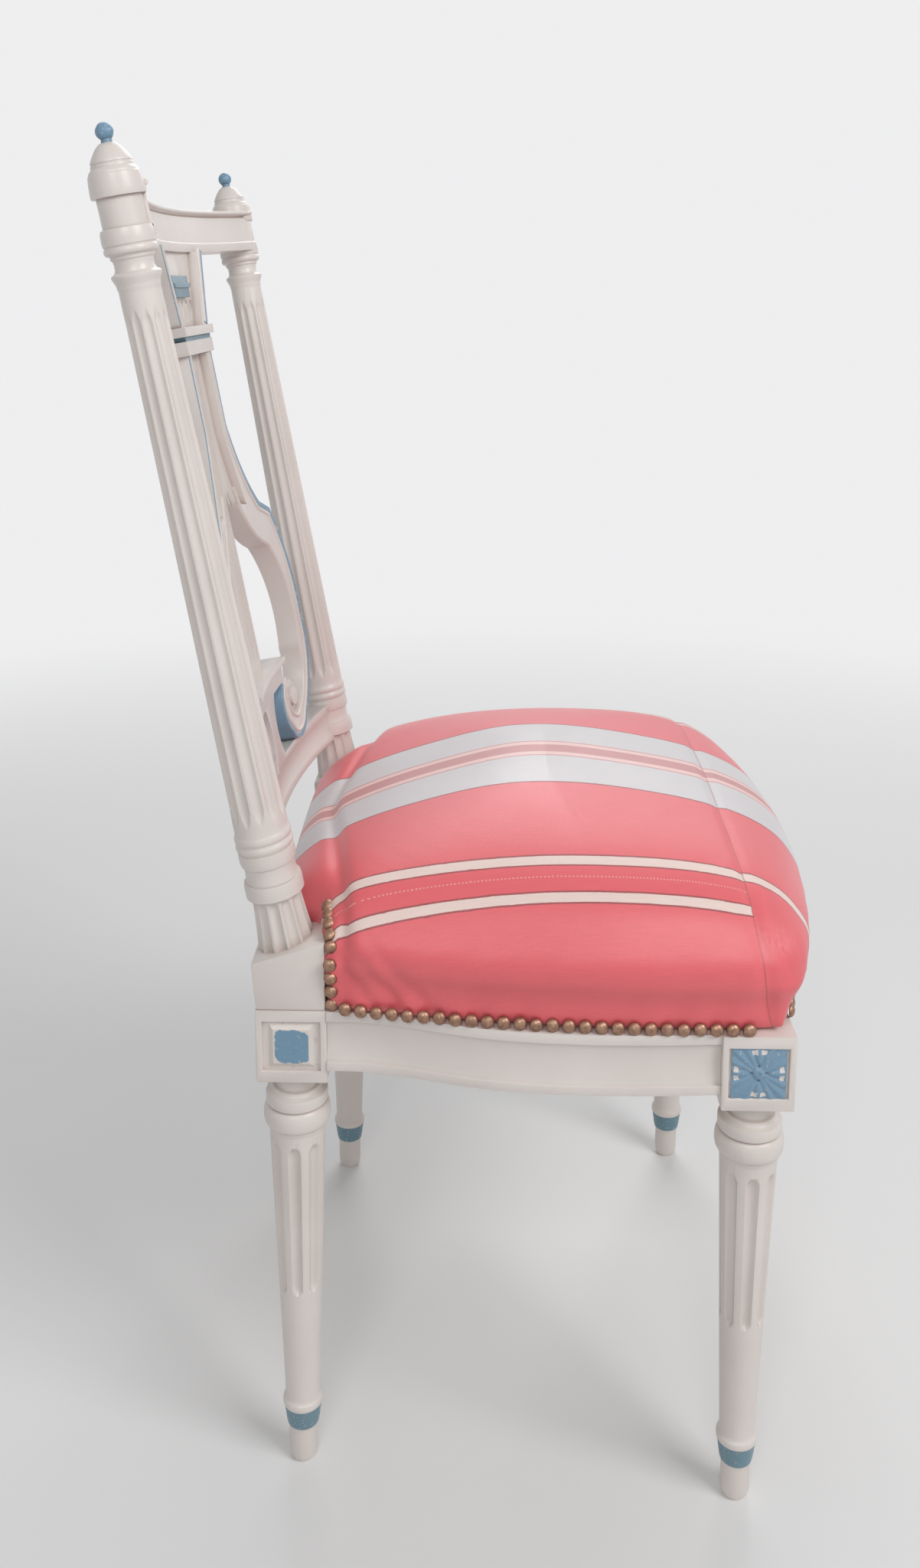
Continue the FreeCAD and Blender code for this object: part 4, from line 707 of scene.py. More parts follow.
# Front of each moulding in mm: distance in from the outline, and how far it stands out
BLUE_LINE = ((0.2, 0.0), (0.3, 0.5), (4.0, 0.5), (4.2, 0.0))
OUTER_BEAD = ((5.0, 0.0), (5.5, 0.9), (6.8, 1.5), (8.1, 0.9), (8.6, 0.0))
INNER_BEAD = ((0.6, 0.0), (1.1, 0.9), (2.6, 1.5), (4.1, 0.9), (4.6, 0.0))
LYRE_EDGE_ROUND = 0.45 * MM
HEAD_EDGE_ROUND = 0.35 * MM
MOULDING_BED = 1.0 * MM
PLATE_HALF = 29 * MM
PLATE_LOW_S = 419 * MM
PLATE_TOP_S = 438 * MM
GROOVE_LOW_S = COLLAR_LOW_S + 10.9 * MM
GROOVE_TOP_S = COLLAR_LOW_S + 14.9 * MM
PLATE_DEPTH = 6.8 * MM
HEAD_DEPTH = 12 * MM
SCROLL_EDGE_TOP_S = PLINTH_LOW_S + 2 * MM
SCROLL_EDGE_REACH = 3.5 * MM
carved_cream = cream_paint("cream_paint_carved", 0.8, 0.5, UPRIGHT_STROKES)


def on_arm(across, up):
    """Point of the arm from shares of the lyre's half width and height."""
    return across * LYRE_HALF_WIDTH, LYRE_LOW_S + up * LYRE_HEIGHT


def arc_through(start, middle, end, steps=14):
    """Points of a round arc through three points, without its start."""
    (ax, ay), (bx, by), (cx, cy) = start, middle, end
    twist = 2 * (ax * (by - cy) + bx * (cy - ay) + cx * (ay - by))
    a2, b2, c2 = ax * ax + ay * ay, bx * bx + by * by, cx * cx + cy * cy
    mid_x = (a2 * (by - cy) + b2 * (cy - ay) + c2 * (ay - by)) / twist
    mid_y = (a2 * (cx - bx) + b2 * (ax - cx) + c2 * (bx - ax)) / twist
    radius = math.hypot(ax - mid_x, ay - mid_y)
    first, through, last = (math.atan2(y - mid_y, x - mid_x) for x, y in (start, middle, end))
    sweep = (last - first) % math.tau
    if (through - first) % math.tau > sweep:
        sweep -= math.tau
    turns = [first + sweep * k / steps for k in range(1, steps + 1)]
    return [(mid_x + radius * math.cos(turn), mid_y + radius * math.sin(turn)) for turn in turns]


def arm_path(start, arcs):
    """Outline of the arm from a start, through arcs of (middle, end) shares."""
    path = [start]
    for middle, end in arcs:
        path += arc_through(path[-1], on_arm(*middle), on_arm(*end))
    return path


upper_arm_path = [(NECK_HALF, COLLAR_LOW_S)] + arm_path(
    (NECK_HALF, on_arm(0, 0.824)[1]), [((0.453, 0.716), (0.664, 0.610))]) + [on_arm(0.823, 0.582)]
lower_arm_path = arm_path(on_arm(0.823, 0.582), [
    ((0.989, 0.391), (1.0, 0.277)), ((0.936, 0.124), (0.755, 0.034)), ((0.589, -0.003), (0.408, 0.034)),
    ((0.309, 0.102), (0.377, (PLINTH_LOW_S - LYRE_LOW_S) / LYRE_HEIGHT))])
inner_arm_path = arm_path((0.483 * LYRE_HALF_WIDTH, PLINTH_LOW_S), [
    ((0.457, 0.107), (0.589, 0.060)), ((0.762, 0.101), (0.845, 0.209)), ((0.838, 0.386), (0.664, 0.496)),
    ((0.392, 0.559), (0.175, 0.670))])
head_path = [(72.0 * MM, HEAD_TOP_S), (50.0 * MM, HEAD_LOW_S)]


def bow_at(x):
    return BOW_DEPTH - BOW_RADIUS + math.sqrt(BOW_RADIUS ** 2 - x ** 2)


def moulding_along(path, rows, side):
    """Moulding laid on the front of the lyre, inward from an outline."""
    section = [(inward * MM, out * MM) for inward, out in rows]
    section += [(section[-1][0], -MOULDING_BED), (section[0][0], -MOULDING_BED), section[0]]
    shape = bmesh.new()
    bmesh.ops.create_grid(shape, x_segments=len(path) - 1, y_segments=len(section) - 1, size=0.5)
    for vert in shape.verts:
        k = round((vert.co.x + 0.5) * (len(path) - 1))
        inward, out = section[round((vert.co.y + 0.5) * (len(section) - 1))]
        before, after = path[max(0, k - 1)], path[min(len(path) - 1, k + 1)]
        step = Vector((after[0] - before[0], after[1] - before[1])).normalized()
        x = path[k][0] + step.y * inward
        s = path[k][1] - step.x * inward
        vert.co = (side * x, bow_at(x) + LYRE_FRONT - out, s)
    bmesh.ops.remove_doubles(shape, verts=shape.verts, dist=1e-6)
    bmesh.ops.holes_fill(shape, edges=[edge for edge in shape.edges if edge.is_boundary])
    bmesh.ops.recalc_face_normals(shape, faces=shape.faces)
    bmesh.ops.transform(shape, matrix=in_back(), verts=shape.verts)
    return shape


def paint_lyre_part(piece, is_blue, blue):
    """Give the faces that a test picks, seen in back axes, the blue."""
    piece.data.materials.append(blue)
    to_back = in_back().inverted()
    for face in piece.data.polygons:
        spot = to_back @ face.center
        facing = to_back.to_3x3() @ face.normal
        if is_blue(spot, facing):
            face.material_index = 1


def scroll_edge(spot, facing):
    """The sawn edge round the outside of the scroll, up to the plinth."""
    if abs(facing.y) >= 0.8 or spot.z >= SCROLL_EDGE_TOP_S:
        return False
    return any(math.hypot(abs(spot.x) - x, spot.z - s) < SCROLL_EDGE_REACH for x, s in lower_arm_path)


def head_ornament(spot, facing):
    """The fringed plate on the head's ground, and the groove of the collar."""
    behind_front = spot.y - bow_at(spot.x) - LYRE_FRONT
    if abs(spot.x) < PLATE_HALF and PLATE_LOW_S < spot.z < PLATE_TOP_S and behind_front < PLATE_DEPTH:
        return True
    return GROOVE_LOW_S < spot.z < GROOVE_TOP_S and behind_front < HEAD_DEPTH


for lyre_part in ("lyre_strings", "lyre_base"):
    eased_piece(lyre_part, LYRE_EDGE_ROUND, carved_cream)
lyre_head = eased_piece("lyre_head", HEAD_EDGE_ROUND, carved_cream)
paint_lyre_part(lyre_head, head_ornament, dull_blue)
for _, side_name in SIDES:
    arm = eased_piece("lyre_arm_" + side_name, LYRE_EDGE_ROUND, carved_cream)
    paint_lyre_part(arm, scroll_edge, blue_paint)

blue_shapes = []
bead_shapes = []
for side, _ in SIDES:
    for path in (head_path, upper_arm_path, lower_arm_path):
        blue_shapes.append(moulding_along(path, BLUE_LINE, side))
        bead_shapes.append(moulding_along(path, OUTER_BEAD, side))
    bead_shapes.append(moulding_along(inner_arm_path, INNER_BEAD, side))
for name, shapes, material in (("blue_lyre_lines", blue_shapes, blue_paint),
                               ("lyre_beads", bead_shapes, carved_cream)):
    lines = new_piece(name, joined_shape(shapes))
    smooth_by_angle(lines, 0.9)
    lines.data.materials.append(material)
    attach(lines, "root")

# Rosettes: squares let into the front blocks, carved with four veined petals to the corners,
# small leaves between them and a button. The blue is worn off the leaves' outer ends.

ROSETTE_CELLS = 64
ROSETTE_FLOOR = 0.3 * MM
BUTTON_R = 4.7 * MM
PETAL_REACH = 26.5 * MM
LEAF_MIDDLE = 12.8 * MM
LEAF_HALF = 6.6 * MM
LEAF_RISE = 2.5 * MM
BARE_TIP = (14.6 * MM, 17.8 * MM)


def carved_square(relief):
    """Square sheet in the XZ plane, facing -Y, lifted by a relief of x and z."""
    shape = bmesh.new()
    bmesh.ops.create_grid(shape, x_segments=ROSETTE_CELLS, y_segments=ROSETTE_CELLS,
                          size=SUNK_SIDE / 2)
    bmesh.ops.rotate(shape, cent=(0, 0, 0), matrix=Matrix.Rotation(math.pi / 2, 3, "X"),
                     verts=shape.verts)
    for vert in shape.verts:
        vert.co.y = SUNK_DEPTH - relief(vert.co.x, vert.co.z)
    rim = [edge for edge in shape.edges if edge.is_boundary]
    wall = bmesh.ops.extrude_edge_only(shape, edges=rim)["geom"]
    for vert in wall:
        if isinstance(vert, bmesh.types.BMVert):
            vert.co.y = SUNK_DEPTH + 0.8 * MM
    back = [edge for edge in shape.edges if edge.is_boundary]
    bmesh.ops.contextual_create(shape, geom=back)
    bmesh.ops.recalc_face_normals(shape, faces=shape.faces)
    return shape


def on_rosette(x, z):
    """Distance from the middle, and how far off the diagonals, up to 1 half way between them."""
    quarter = math.pi / 2
    return math.hypot(x, z), abs((math.atan2(z, x) % quarter) - quarter / 2) / (quarter / 2)


def rosette_relief(x, z):
    """Height of the carving: button, veined petals to the corners, and leaves between them."""
    reach, from_diagonal = on_rosette(x, z)
    if reach < BUTTON_R:
        dome = math.sqrt(1 - (reach / BUTTON_R) ** 2)
        return 1.2 * MM + 2.2 * MM * dome - (0.6 * MM if reach < 1.2 * MM else 0)
    lift = ROSETTE_FLOOR
    petal_reach = PETAL_REACH * (1 - 0.40 * from_diagonal ** 2.6)
    if reach < petal_reach:
        outward = reach / petal_reach
        belly = 0.55 + 0.45 * math.sin(math.pi * min(1, outward))
        across = max(0.0, 1 - from_diagonal ** 5)
        veins = 0.45 * MM * math.cos(from_diagonal * 4.6 * math.pi) * min(1, outward * 1.4)
        lift = ROSETTE_FLOOR + (1.9 * MM * belly + veins) * across
    leaf = 1 - ((1 - from_diagonal) / 0.30) ** 2 - ((reach - LEAF_MIDDLE) / LEAF_HALF) ** 2
    if leaf > 0:
        lift = max(lift, ROSETTE_FLOOR + LEAF_RISE * leaf ** 0.4)
    return lift


def bare_leaf_tip(spot):
    """The outer ends of the leaves, where the blue has worn off."""
    reach, from_diagonal = on_rosette(spot.x, spot.z)
    worn = 0.8 * MM * noise.noise(spot * 300)
    return BARE_TIP[0] + worn < reach < BARE_TIP[1] and 0.60 < from_diagonal < 0.90


def on_blocks(square, block_x, block_y, outer_face):
    """Copies of a square in the sunk squares of the left and of the right block."""
    copies = []
    for side, _ in SIDES:
        turns = (side * math.pi / 2, 0.0 if outer_face < 0 else math.pi)
        for turn, direction in zip(turns, sunk_directions(side, outer_face)):
            copy = square.copy()
            place = Vector((side * block_x, block_y, MID_BLOCK_Z)) + direction * BLOCK_SIDE / 2
            matrix = Matrix.Translation(place) @ Matrix.Rotation(turn, 4, "Z")
            bmesh.ops.transform(copy, matrix=matrix, verts=copy.verts)
            copies.append(copy)
    square.free()
    return joined_shape(copies)


rosette_shape = carved_square(rosette_relief)
for face in rosette_shape.faces:
    face.material_index = 1 if bare_leaf_tip(face.calc_center_median()) else 0
rosettes = new_piece("carved_rosettes", on_blocks(rosette_shape, FRONT_LEG_X, FRONT_LEG_Y, -1))
smooth_by_angle(rosettes, 0.9)
rosettes.data.materials.append(blue_paint)
rosettes.data.materials.append(cream_upright)
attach(rosettes, "root")
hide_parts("rosettes")

# Block panels: raised squares with a broad bevel in the rear blocks. The bevel is cream, and
# the flat is brushed blue by hand, so its edge wanders.

PANEL_HALF = 16.2 * MM
PANEL_BEVEL = 3.2 * MM
PANEL_RISE = 2.3 * MM
BLUE_HALF = 12.8 * MM


def panel_relief(x, z):
    edge = PANEL_HALF - max(abs(x), abs(z))
    if edge < 0:
        return 0.05 * MM
    return 0.2 * MM + PANEL_RISE * min(1.0, edge / PANEL_BEVEL)


panel_shape = carved_square(panel_relief)
for face in panel_shape.faces:
    spot = face.calc_center_median()
    wander = 1.3 * MM * noise.noise(spot * 120) + 0.5 * MM * noise.noise(spot * 420)
    from_middle = (abs(1.06 * spot.x) ** 5 + abs(spot.z) ** 5) ** 0.2
    face.material_index = 1 if from_middle + wander < BLUE_HALF else 0
panels = new_piece("raised_block_panels", on_blocks(panel_shape, REAR_LEG_X, REAR_LEG_Y, 1))
smooth_by_angle(panels, 0.3)
panels.data.materials.append(cream_upright)
panels.data.materials.append(blue_paint)
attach(panels, "root")
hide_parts("block_panels")

# Striped satin: woven in coral with a pale blue-grey band each side of a rose centre, and
# narrow cream stripes toward the sides. The stripes run from front to back.

PATTERN_CENTRE_X = -8.0 * MM
ROSE = (0.60, 0.26, 0.26, 1)
BLUSH = (0.86, 0.58, 0.55, 1)
PALE_BAND = (0.66, 0.625, 0.64, 1)
CORAL = (0.79, 0.125, 0.145, 1)
DEEP_RED = (0.36, 0.07, 0.075, 1)
LIGHT_CREAM = (0.84, 0.66, 0.60, 1)
# Each band: where it ends, in mm across the cloth from the pattern's centre line
BANDS = ((8.5, ROSE), (15.5, BLUSH), (17.5, ROSE), (67.0, PALE_BAND),
         (69.0, DEEP_RED), (165.0, CORAL), (166.6, DEEP_RED), (175.0, LIGHT_CREAM), (176.4, DEEP_RED),
         (197.8, CORAL), (199.2, DEEP_RED), (206.4, LIGHT_CREAM), (207.8, DEEP_RED), (400.0, CORAL))
DOTTED_AT = 186.0
DOT_PITCH = 2.6 * MM
DOT_COLOR = (0.85, 0.45, 0.45, 1)
WARP_PITCH = 0.7 * MM
WEFT_PITCH = 0.55 * MM
# Width of the painted shadow line along the seam of the front band
SEAM_SHADOW_START = 0.2 * MM
SEAM_SHADOW_END = 0.9 * MM


def attribute(tree, name):
    return add_node(tree, "ShaderNodeAttribute", attribute_name=name).outputs["Fac"]


def wave(tree, place, pitch):
    return math_node(tree, "SINE", product(tree, place, math.tau / pitch))


def satin_group():
    group, given, result = effect_group("striped_satin", [("Wear", "NodeSocketFloat", 0.3)])
    past_seam = attribute(group, "past_seam")
    across = add_node(group, "ShaderNodeMix", {
        0: math_node(group, "GREATER_THAN", past_seam, 0.0), 2: attribute(group, "across"),
        3: attribute(group, "band_across")}).outputs[0]
    along = attribute(group, "along")
    place = object_place(group)
    flat = add_node(group, "ShaderNodeCombineXYZ", {0: across, 1: along}).outputs[0]
    waver = product(group, less(group, noise_at(group, flat, 60.0), 0.5), 0.6 * MM)
    distance = math_node(group, "ABSOLUTE", total(group, across, waver))
    color = BANDS[0][1]
    for (end, _), (_, band) in zip(BANDS, BANDS[1:]):
        past = ranged(group, distance, (end - 0.25) * MM, (end + 0.25) * MM)
        color = mixed_color(group, past, color, band)
    off_dots = math_node(group, "ABSOLUTE", less(group, distance, DOTTED_AT * MM))
    near_dots = math_node(group, "LESS_THAN", off_dots, 0.55 * MM)
    beat = math_node(group, "GREATER_THAN", wave(group, along, DOT_PITCH), 0.1)
    dots = product(group, near_dots, beat)
    color = mixed_color(group, product(group, dots, 0.7), color, DOT_COLOR)
    # Painted shadow: a fine dark line along the seam of the front band.
    off_seam = math_node(group, "ABSOLUTE", past_seam)
    seam_shadow_line = less(group, 1.0, ranged(group, off_seam, SEAM_SHADOW_START, SEAM_SHADOW_END))
    color = mixed_color(group, product(group, seam_shadow_line, 0.55), color, DEEP_RED)
    slub = noise_at(group, stretched(group, flat, (1.0, 0.07, 1.0)), 900.0, 2.0)
    tone = total(group, 0.93, product(group, slub, 0.14))
    faded = ranged(group, noise_at(group, place, 7.0), 0.35, 0.75)
    tone = less(group, tone, product(group, faded, 0.05))
    color = add_node(group, "ShaderNodeHueSaturation", {"Color": color, "Value": tone}).outputs[0]
    weft = product(group, wave(group, along, WEFT_PITCH), 0.3)
    warp = product(group, wave(group, across, WARP_PITCH), 0.15)
    give_out(group, result, color, total(group, 0.34, product(group, faded, given.outputs["Wear"])),
             total(group, total(group, weft, warp), product(group, slub, 0.8)))
    return group


satin = finish_with("striped_satin", satin_group(), {"Wear": 0.10}, 0.00008, Sheen_Weight=0.2,
                    Sheen_Roughness=0.3, Specular_IOR_Level=0.75, Anisotropic=0.4)

# Seat cushion: a thick stuffed seat with a high crown, its sides drawn in toward the nails.
# Satin is pulled over it from side to side, and a front band is sewn on along the front edge.

SEAT_TOP_Z = FRAME_TOP_Z + 128.8 * MM
SEAM_TOP_Y = -193.0 * MM
SEAM_LOW_Y = -214.0 * MM
SEAM_CLEAR = 12.0 * MM
BAND_SLIP = 2.0 * MM
BAND_LAST_STRIPE = 181.0 * MM
TUCK_Y = 119.0 * MM
TUCK_SLANT = 0.155
VOXEL = 5.0 * MM
EVEN_ROUNDS = 5
CROWN_ROUNDS = 60
CROWN_UP = 38 * MM
SEAM_SINK = 2.4 * MM
SEAM_WIDTH = 3.0 * MM
RIDGE_UP = 0.049
RIDGE_RISE = 5.5 * MM
RIDGE_WIDTH = 0.016
HOLLOW_UP = 0.022
HOLLOW_SINK = 1.5 * MM
HOLLOW_WIDTH = 0.012
TUCK_SINK = 5.0 * MM
TUCK_WIDTH = 6.0 * MM
FOLDS_AT = (0.075, 0.057, 0.036)
FOLD_SINK = 2.4 * MM
FOLD_WIDTH = 0.006
REAR_HALF_Y = 50 * MM
SLICES = 96
SECTION_RAYS = 32
SECTION_TURN = 0.82 * math.pi


def share_of(value):
    return min(1.0, max(0.0, value))


def stuffed_form():
    """The cushion's solid as an even mesh of small squares with soft edges."""
    rough = new_piece("rough_seat", frame_shape("seat_cushion"))
    remesh = rough.modifiers.new("even_mesh", "REMESH")
    remesh.mode = "VOXEL"
    remesh.voxel_size = VOXEL
    form = bmesh.new()
    form.from_object(rough, bpy.context.evaluated_depsgraph_get())
    bpy.data.objects.remove(rough)
    crown = [vert for vert in form.verts if vert.co.z > FRAME_TOP_Z + CROWN_UP]
    for verts, rounds in ((form.verts, EVEN_ROUNDS), (crown, CROWN_ROUNDS)):
        for _ in range(rounds):
            bmesh.ops.smooth_vert(form, verts=verts, factor=0.5, use_axis_x=True, use_axis_y=True,
                                  use_axis_z=True)
    return form


def seam_y(z):
    """How far forward the seam of the front band lies at a height."""
    share = share_of((z - FRAME_TOP_Z) / (SEAT_TOP_Z - FRAME_TOP_Z))
    return SEAM_LOW_Y + share ** 0.7 * (SEAM_TOP_Y - SEAM_LOW_Y)


def groove(distance, width):
    return math.exp(-(distance / width) ** 2)


def pulled(vert):
    """How far the cloth stands out of the form at a point: its seam, tucks and pulls."""
    x, y, z = vert.co
    up = z - FRAME_TOP_Z
    wall = 1 - abs(vert.normal.z)
    lift = -SEAM_SINK * groove(y - seam_y(z), SEAM_WIDTH)
    ridge = RIDGE_UP + 0.004 * noise.noise(Vector((y * 13, x * 4, 3)))
    lift += RIDGE_RISE * groove(up - ridge, RIDGE_WIDTH) * wall
    lift -= HOLLOW_SINK * groove(up - HOLLOW_UP, HOLLOW_WIDTH) * wall
    lift -= TUCK_SINK * groove(y - TUCK_Y + TUCK_SLANT * abs(x), TUCK_WIDTH) * min(1.0, up / 0.05)
    lift += 1.3 * MM * share_of(up / 0.08)
    side_pull = abs(vert.normal.x) * groove(up, 0.035)
    phase = (y + 0.35 * up) * 190 + 3.0 * noise.noise(Vector((y * 16, z * 16, 1 if x > 0 else 5)))
    lift += 1.3 * MM * side_pull * math.sin(phase) * (0.55 + noise.noise(Vector((y * 9, 0, x * 3))))
    front_pull = abs(vert.normal.y) * groove(up, 0.03) if y < 0 else 0.0
    lift += 0.7 * MM * front_pull * math.sin(x * 210 + 3.0 * noise.noise(Vector((x * 14, z * 16, 9))))
    fold = sum(groove(y - at - 0.8 * (up - 0.02), FOLD_WIDTH) for at in FOLDS_AT)
    lift -= FOLD_SINK * fold * groove(up - 0.026, 0.026) * abs(vert.normal.x)
    lift += 1.2 * MM * noise.noise(vert.co * 9)
    return lift


def cloth_across(x, y, z, profile):
    """Distance over the cloth from the middle of the seat, on the section at this depth."""
    best = None
    for (x0, z0, run0), (x1, z1, run1) in zip(profile, profile[1:]):
        span = (x1 - x0) ** 2 + (z1 - z0) ** 2
        share = ((abs(x) - x0) * (x1 - x0) + (z - z0) * (z1 - z0)) / span if span > 0 else 0.0
        share = share_of(share)
        gap = (x0 + share * (x1 - x0) - abs(x)) ** 2 + (z0 + share * (z1 - z0) - z) ** 2
        if best is None or gap < best[0]:
            best = (gap, run0 + share * (run1 - run0))
    return math.copysign(best[1], x)


def straight_across(x, profile):
    """Distance over the cloth from the middle of the seat where it hangs straight down."""
    run = profile[0][2]
    for (x0, _, run0), (x1, _, run1) in zip(profile, profile[1:]):
        if x1 <= x0:
            break
        share = share_of((abs(x) - x0) / (x1 - x0))
        run = run0 + share * (run1 - run0)
        if abs(x) < x1:
            break
    return math.copysign(run, x)


def section_profile(tree, y):
    """Half section of the cushion at a depth: points over the top and down the side, with
    the running length of the cloth."""
    middle = Vector((0, y, FRAME_TOP_Z + 60 * MM))
    points = []
    for k in range(SECTION_RAYS + 1):
        turn = math.pi / 2 - k / SECTION_RAYS * SECTION_TURN
        toward = Vector((math.cos(turn), 0, math.sin(turn)))
        place, _, _, _ = tree.ray_cast(middle, toward)
        if place is None:
            continue
        if place.z < FRAME_TOP_Z + 1.0 * MM:
            break
        run = 0.0
        if points:
            x, z, run = points[-1]
            run += math.hypot(place.x - x, place.z - z)
        points.append((place.x, place.z, run))
    return points


def dress_seat():
    shape = stuffed_form()
    shape.normal_update()
    tree = BVHTree.FromBMesh(shape)
    across_layer, band_layer, seam_layer, along_layer = (
        shape.verts.layers.float.new(name) for name in ("across", "band_across", "past_seam", "along"))
    free = [vert for vert in shape.verts if vert.co.z > FRAME_TOP_Z + 2 * MM]
    lifts = [(vert, vert.normal * pulled(vert)) for vert in free]
    low_y = min(vert.co.y for vert in shape.verts) + 4 * MM
    high_y = max(vert.co.y for vert in shape.verts) - 4 * MM
    profiles = [section_profile(tree, low_y + k / (SLICES - 1) * (high_y - low_y))
                for k in range(SLICES)]
    per_metre = (SLICES - 1) / (high_y - low_y)
    seam_profile = profiles[round((SEAM_TOP_Y + SEAM_CLEAR - low_y) * per_metre)]
    tuck_profile = profiles[round((TUCK_Y - SEAM_CLEAR * 2 - low_y) * per_metre)]
    for vert in shape.verts:
        at = (max(vert.co.y, seam_y(vert.co.z) + SEAM_CLEAR) - low_y) * per_metre
        first = min(SLICES - 2, max(0, int(at)))
        share = share_of(at - first)
        run = 0.0
        for profile, weight in ((profiles[first], 1 - share), (profiles[first + 1], share)):
            run += weight * cloth_across(*vert.co, profile)
        if vert.co.y > REAR_HALF_Y:
            hangs = share_of((vert.normal.y - 0.4) / 0.3)
            run += hangs * (straight_across(vert.co.x, tuck_profile) - run)
        vert[across_layer] = run - PATTERN_CENTRE_X
        band_run = straight_across(vert.co.x, seam_profile) - PATTERN_CENTRE_X
        vert[band_layer] = math.copysign(min(abs(band_run) + BAND_SLIP, BAND_LAST_STRIPE), band_run)
        vert[seam_layer] = seam_y(vert.co.z) - vert.co.y
        vert[along_layer] = vert.co.y - 0.8 * (vert.co.z - FRAME_TOP_Z) * abs(vert.normal.y)
    for vert, lift in lifts:
        vert.co += lift
    return shape


seat_shape = dress_seat()
cloth_surface = BVHTree.FromBMesh(seat_shape)
seat = new_piece("satin_seat", seat_shape)
seat.data.shade_smooth()
seat_rounding = seat.modifiers.new("rounding", "SUBSURF")
seat_rounding.levels = 1
seat_rounding.render_levels = 1
seat.data.materials.append(satin)
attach(seat, "root")
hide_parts("seat_cushion")

# Upholstery nails: domed heads in antique bronze, side by side along the edge of the cloth
# on all four rails, and up the front of each rear block where the cloth is cut round it.

NAIL_R = 5.0 * MM
NAIL_PROFILE = ((0.985, 0.0), (1.0, 0.16), (0.93, 0.38), (0.75, 0.58), (0.47, 0.73), (0.18, 0.8))
NAIL_STEPS = 12


def bronze_group():
    group, given, result = effect_group(
        "antique_bronze",
        [("Metal", "NodeSocketColor", (0.5, 0.3, 0.2, 1)),
         ("Patina", "NodeSocketColor", (0.2, 0.1, 0.08, 1))])
    place = object_place(group)
    cloud = ranged(group, noise_at(group, place, 300.0, 4.0), 0.38, 0.66)
    pits = noise_at(group, place, 1500.0, 2.0)
    color = mixed_color(group, cloud, given.outputs["Metal"], given.outputs["Patina"])
    give_out(group, result, color, total(group, 0.33, product(group, cloud, 0.14)),
             less(group, pits, cloud))
    return group


patinated_metal = bronze_group()
bronze = finish_with("antique_bronze", patinated_metal, {
    "Metal": (0.40, 0.24, 0.165, 1), "Patina": (0.25, 0.14, 0.095, 1)}, 0.00006, Metallic=0.75)


def nail_places(node):
    """Middle of each nail of a row on the frame, in order along the rail."""
    shape = frame_shape(node, apart=1e-5)
    waiting = set(shape.verts)
    places = []
    while waiting:
        island = []
        edge_of = [waiting.pop()]
        while edge_of:
            vert = edge_of.pop()
            island.append(vert.co.copy())
            for edge in vert.link_edges:
                other = edge.other_vert(vert)
                if other in waiting:
                    waiting.remove(other)
                    edge_of.append(other)
        places.append(sum(island, Vector()) / len(island))
    shape.free()
    axis = 0 if node in ("nails_front", "nails_back") else 1
    return sorted(places, key=lambda place: place[axis])


def nail_shape(place, outward):
    """One domed head with its rim on the cloth."""
    head = turned([(NAIL_R * across, NAIL_R * up) for across, up in NAIL_PROFILE], NAIL_STEPS)
    tilt = outward.to_track_quat("Z", "Y").to_matrix().to_4x4()
    bmesh.ops.transform(head, matrix=Matrix.Translation(place) @ tilt, verts=head.verts)
    return head


def nail_row(places, centre):
    heads = []
    for k, place in enumerate(places):
        before, after = places[max(0, k - 1)], places[min(len(places) - 1, k + 1)]
        outward = (after - before).cross(Vector((0, 0, 1))).normalized()
        if outward.dot(place - centre) < 0:
            outward = -outward
        tip = Vector((noise.noise(place * 90), noise.noise(place * 91), noise.noise(place * 93)))
        seat_at = place - outward * 1.6 * MM + Vector((0, 0, 0.5 * MM * tip.z))
        heads.append(nail_shape(seat_at, (outward + 0.12 * tip).normalized()))
    return heads


SEAT_MIDDLE = Vector((0, -0.04, 0.39))
for row in ("nails_front", "nails_back", "nails_left", "nails_right"):
    row_piece = new_piece("domed_" + row, joined_shape(nail_row(nail_places(row), SEAT_MIDDLE)))
    row_piece.data.shade_smooth()
    row_piece.data.materials.append(bronze)
    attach(row_piece, "root")
    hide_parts(row)


def on_cloth(place, outward):
    """The nail's place moved along its own axis onto the cloth, where the cloth covers it."""
    hit, _, _, _ = cloth_surface.ray_cast(place + outward * 40 * MM, -outward, 60 * MM)
    return place if hit is None else hit - outward * 0.4 * MM


NAILS_UP = 5
NAILS_UP_PITCH = 11.0
NAILS_OVER = 4
NAILS_OVER_PITCH = 10.6
BLOCK_FACE_Y = REAR_LEG_Y - UPPER_BLOCK_SIDE / 2
BLOCK_CORNER_X = REAR_LEG_X + UPPER_BLOCK_SIDE / 2
for side, side_name in SIDES:
    rising = []
    for k in range(NAILS_UP):
        place = Vector((side * (BLOCK_CORNER_X - 0.2 * MM), BLOCK_FACE_Y - 4.6 * MM,
                        FRAME_TOP_Z + (4.4 + NAILS_UP_PITCH * k) * MM))
        outward = Vector((side, 0.05, 0.06 * (k % 2))).normalized()
        rising.append(nail_shape(on_cloth(place, outward), outward))
    for k in range(NAILS_OVER):
        place = Vector((side * (BLOCK_CORNER_X - (6 + NAILS_OVER_PITCH * k) * MM),
                        BLOCK_FACE_Y - 3.2 * MM, UPPER_FRONT_Z + (4.6 + 1.5 * math.sin(0.9 * k)) * MM))
        outward = Vector((side * 0.55, 0.35, 0.75)).normalized()
        rising.append(nail_shape(on_cloth(place, outward), outward))
    rising_nails = new_piece("rising_nails_" + side_name, joined_shape(rising))
    rising_nails.data.shade_smooth()
    rising_nails.data.materials.append(bronze)
    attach(rising_nails, "root")

# Jute webbing, hessian, glue blocks and screws: what carries the seat under the cushion.
# They keep the frame's own shapes.


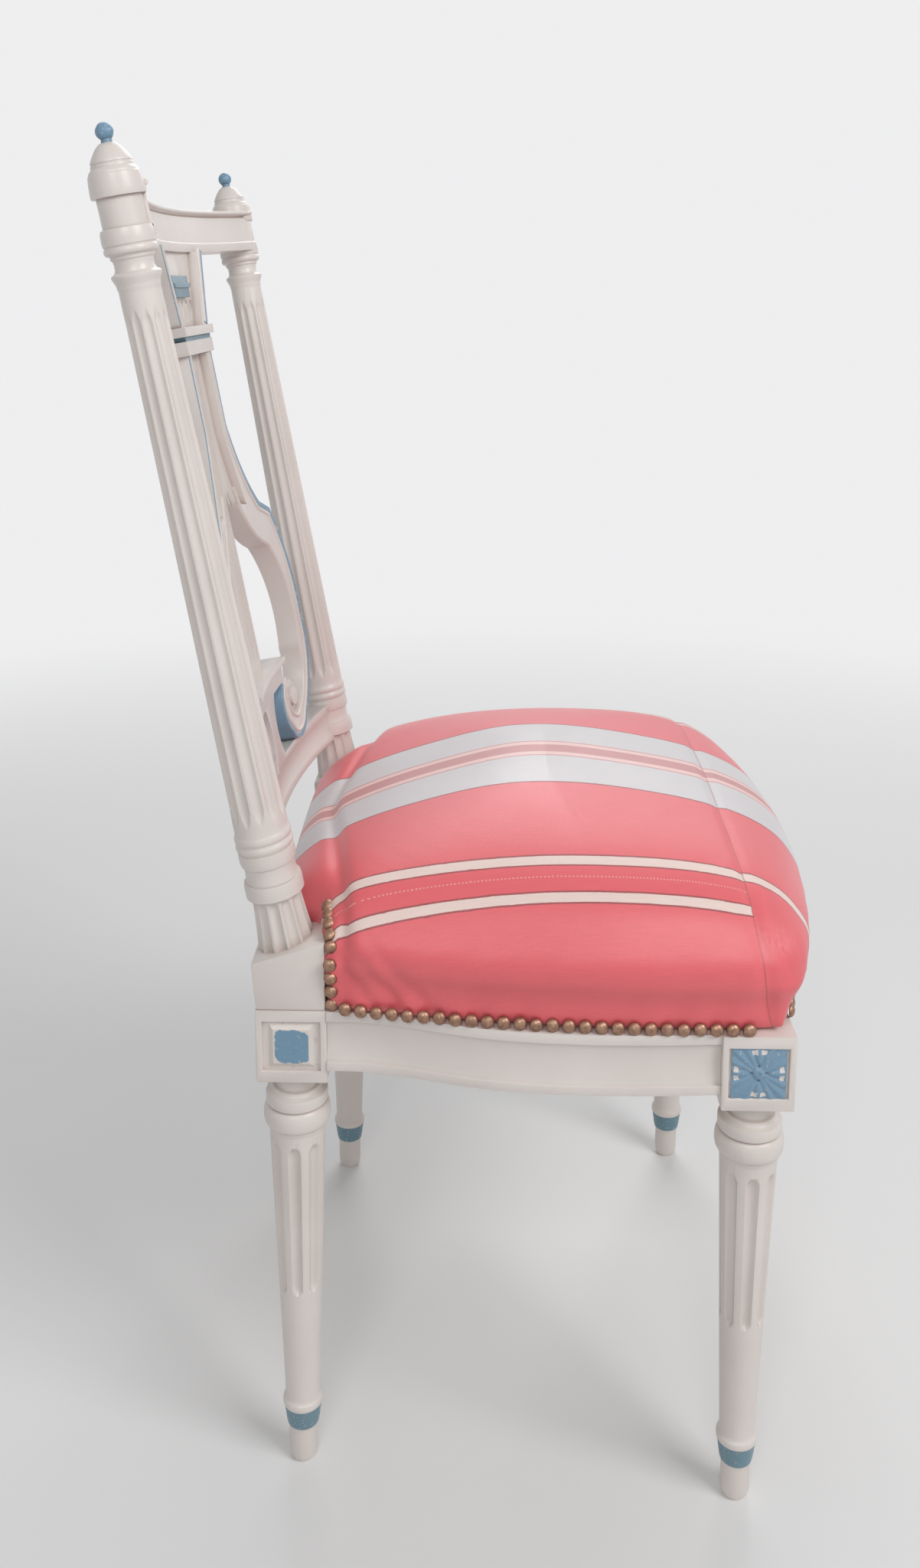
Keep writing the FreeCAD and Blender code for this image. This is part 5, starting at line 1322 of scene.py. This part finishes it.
def woven_group():
    group, given, result = effect_group(
        "coarse_weave",
        [("Light", "NodeSocketColor", (0.5, 0.4, 0.28, 1)),
         ("Dark", "NodeSocketColor", (0.2, 0.14, 0.09, 1)), ("Thread", "NodeSocketFloat", 1400.0)])
    place = object_place(group)
    parts = add_node(group, "ShaderNodeSeparateXYZ", {0: place})
    waves = []
    for axis in (0, 1):
        phase = product(group, parts.outputs[axis], given.outputs["Thread"])
        waves.append(math_node(group, "SINE", phase))
    over = product(group, waves[0], waves[1])
    share = ranged(group, total(group, over, noise_at(group, place, 120.0)), -0.4, 1.4)
    give_out(group, result, mixed_color(group, share, given.outputs["Dark"], given.outputs["Light"]),
             ranged(group, share, -1.0, 1.6), share)
    return group


def wood_group():
    group, given, result = effect_group(
        "bare_grain",
        [("Light", "NodeSocketColor", (0.55, 0.4, 0.25, 1)),
         ("Dark", "NodeSocketColor", (0.33, 0.2, 0.11, 1))])
    place = object_place(group)
    grain = noise_at(group, stretched(group, place, (0.12, 1.0, 1.0)), 240.0, 4.0)
    share = ranged(group, grain, 0.3, 0.7)
    give_out(group, result, mixed_color(group, share, given.outputs["Light"], given.outputs["Dark"]),
             ranged(group, grain, -1.2, 1.2), grain)
    return group


coarse_weave = woven_group()
jute = finish_with("jute_webbing", coarse_weave, {"Thread": 1800.0}, 0.0004)
hessian_cloth = finish_with("hessian_cloth", coarse_weave, {
    "Thread": 2600.0, "Light": (0.56, 0.45, 0.30, 1), "Dark": (0.22, 0.15, 0.09, 1)}, 0.0003)
bare_wood = finish_with("bare_beech", wood_group(), {}, 0.0002)
steel = finish_with("screw_steel", patinated_metal, {
    "Metal": (0.50, 0.50, 0.49, 1), "Patina": (0.30, 0.28, 0.26, 1)}, 0.00004, Metallic=0.9)
KEPT_NODES = (
    (jute, ("webbing",)), (hessian_cloth, ("hessian",)), (steel, ("corner_screws",)),
    (bare_wood, ("corner_block_front_left", "corner_block_front_right", "corner_block_rear_left",
                 "corner_block_rear_right")))
for material, node_names in KEPT_NODES:
    for node_name in node_names:
        for node_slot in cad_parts[node_name].material_slots:
            node_slot.link = "OBJECT"
            node_slot.material = material
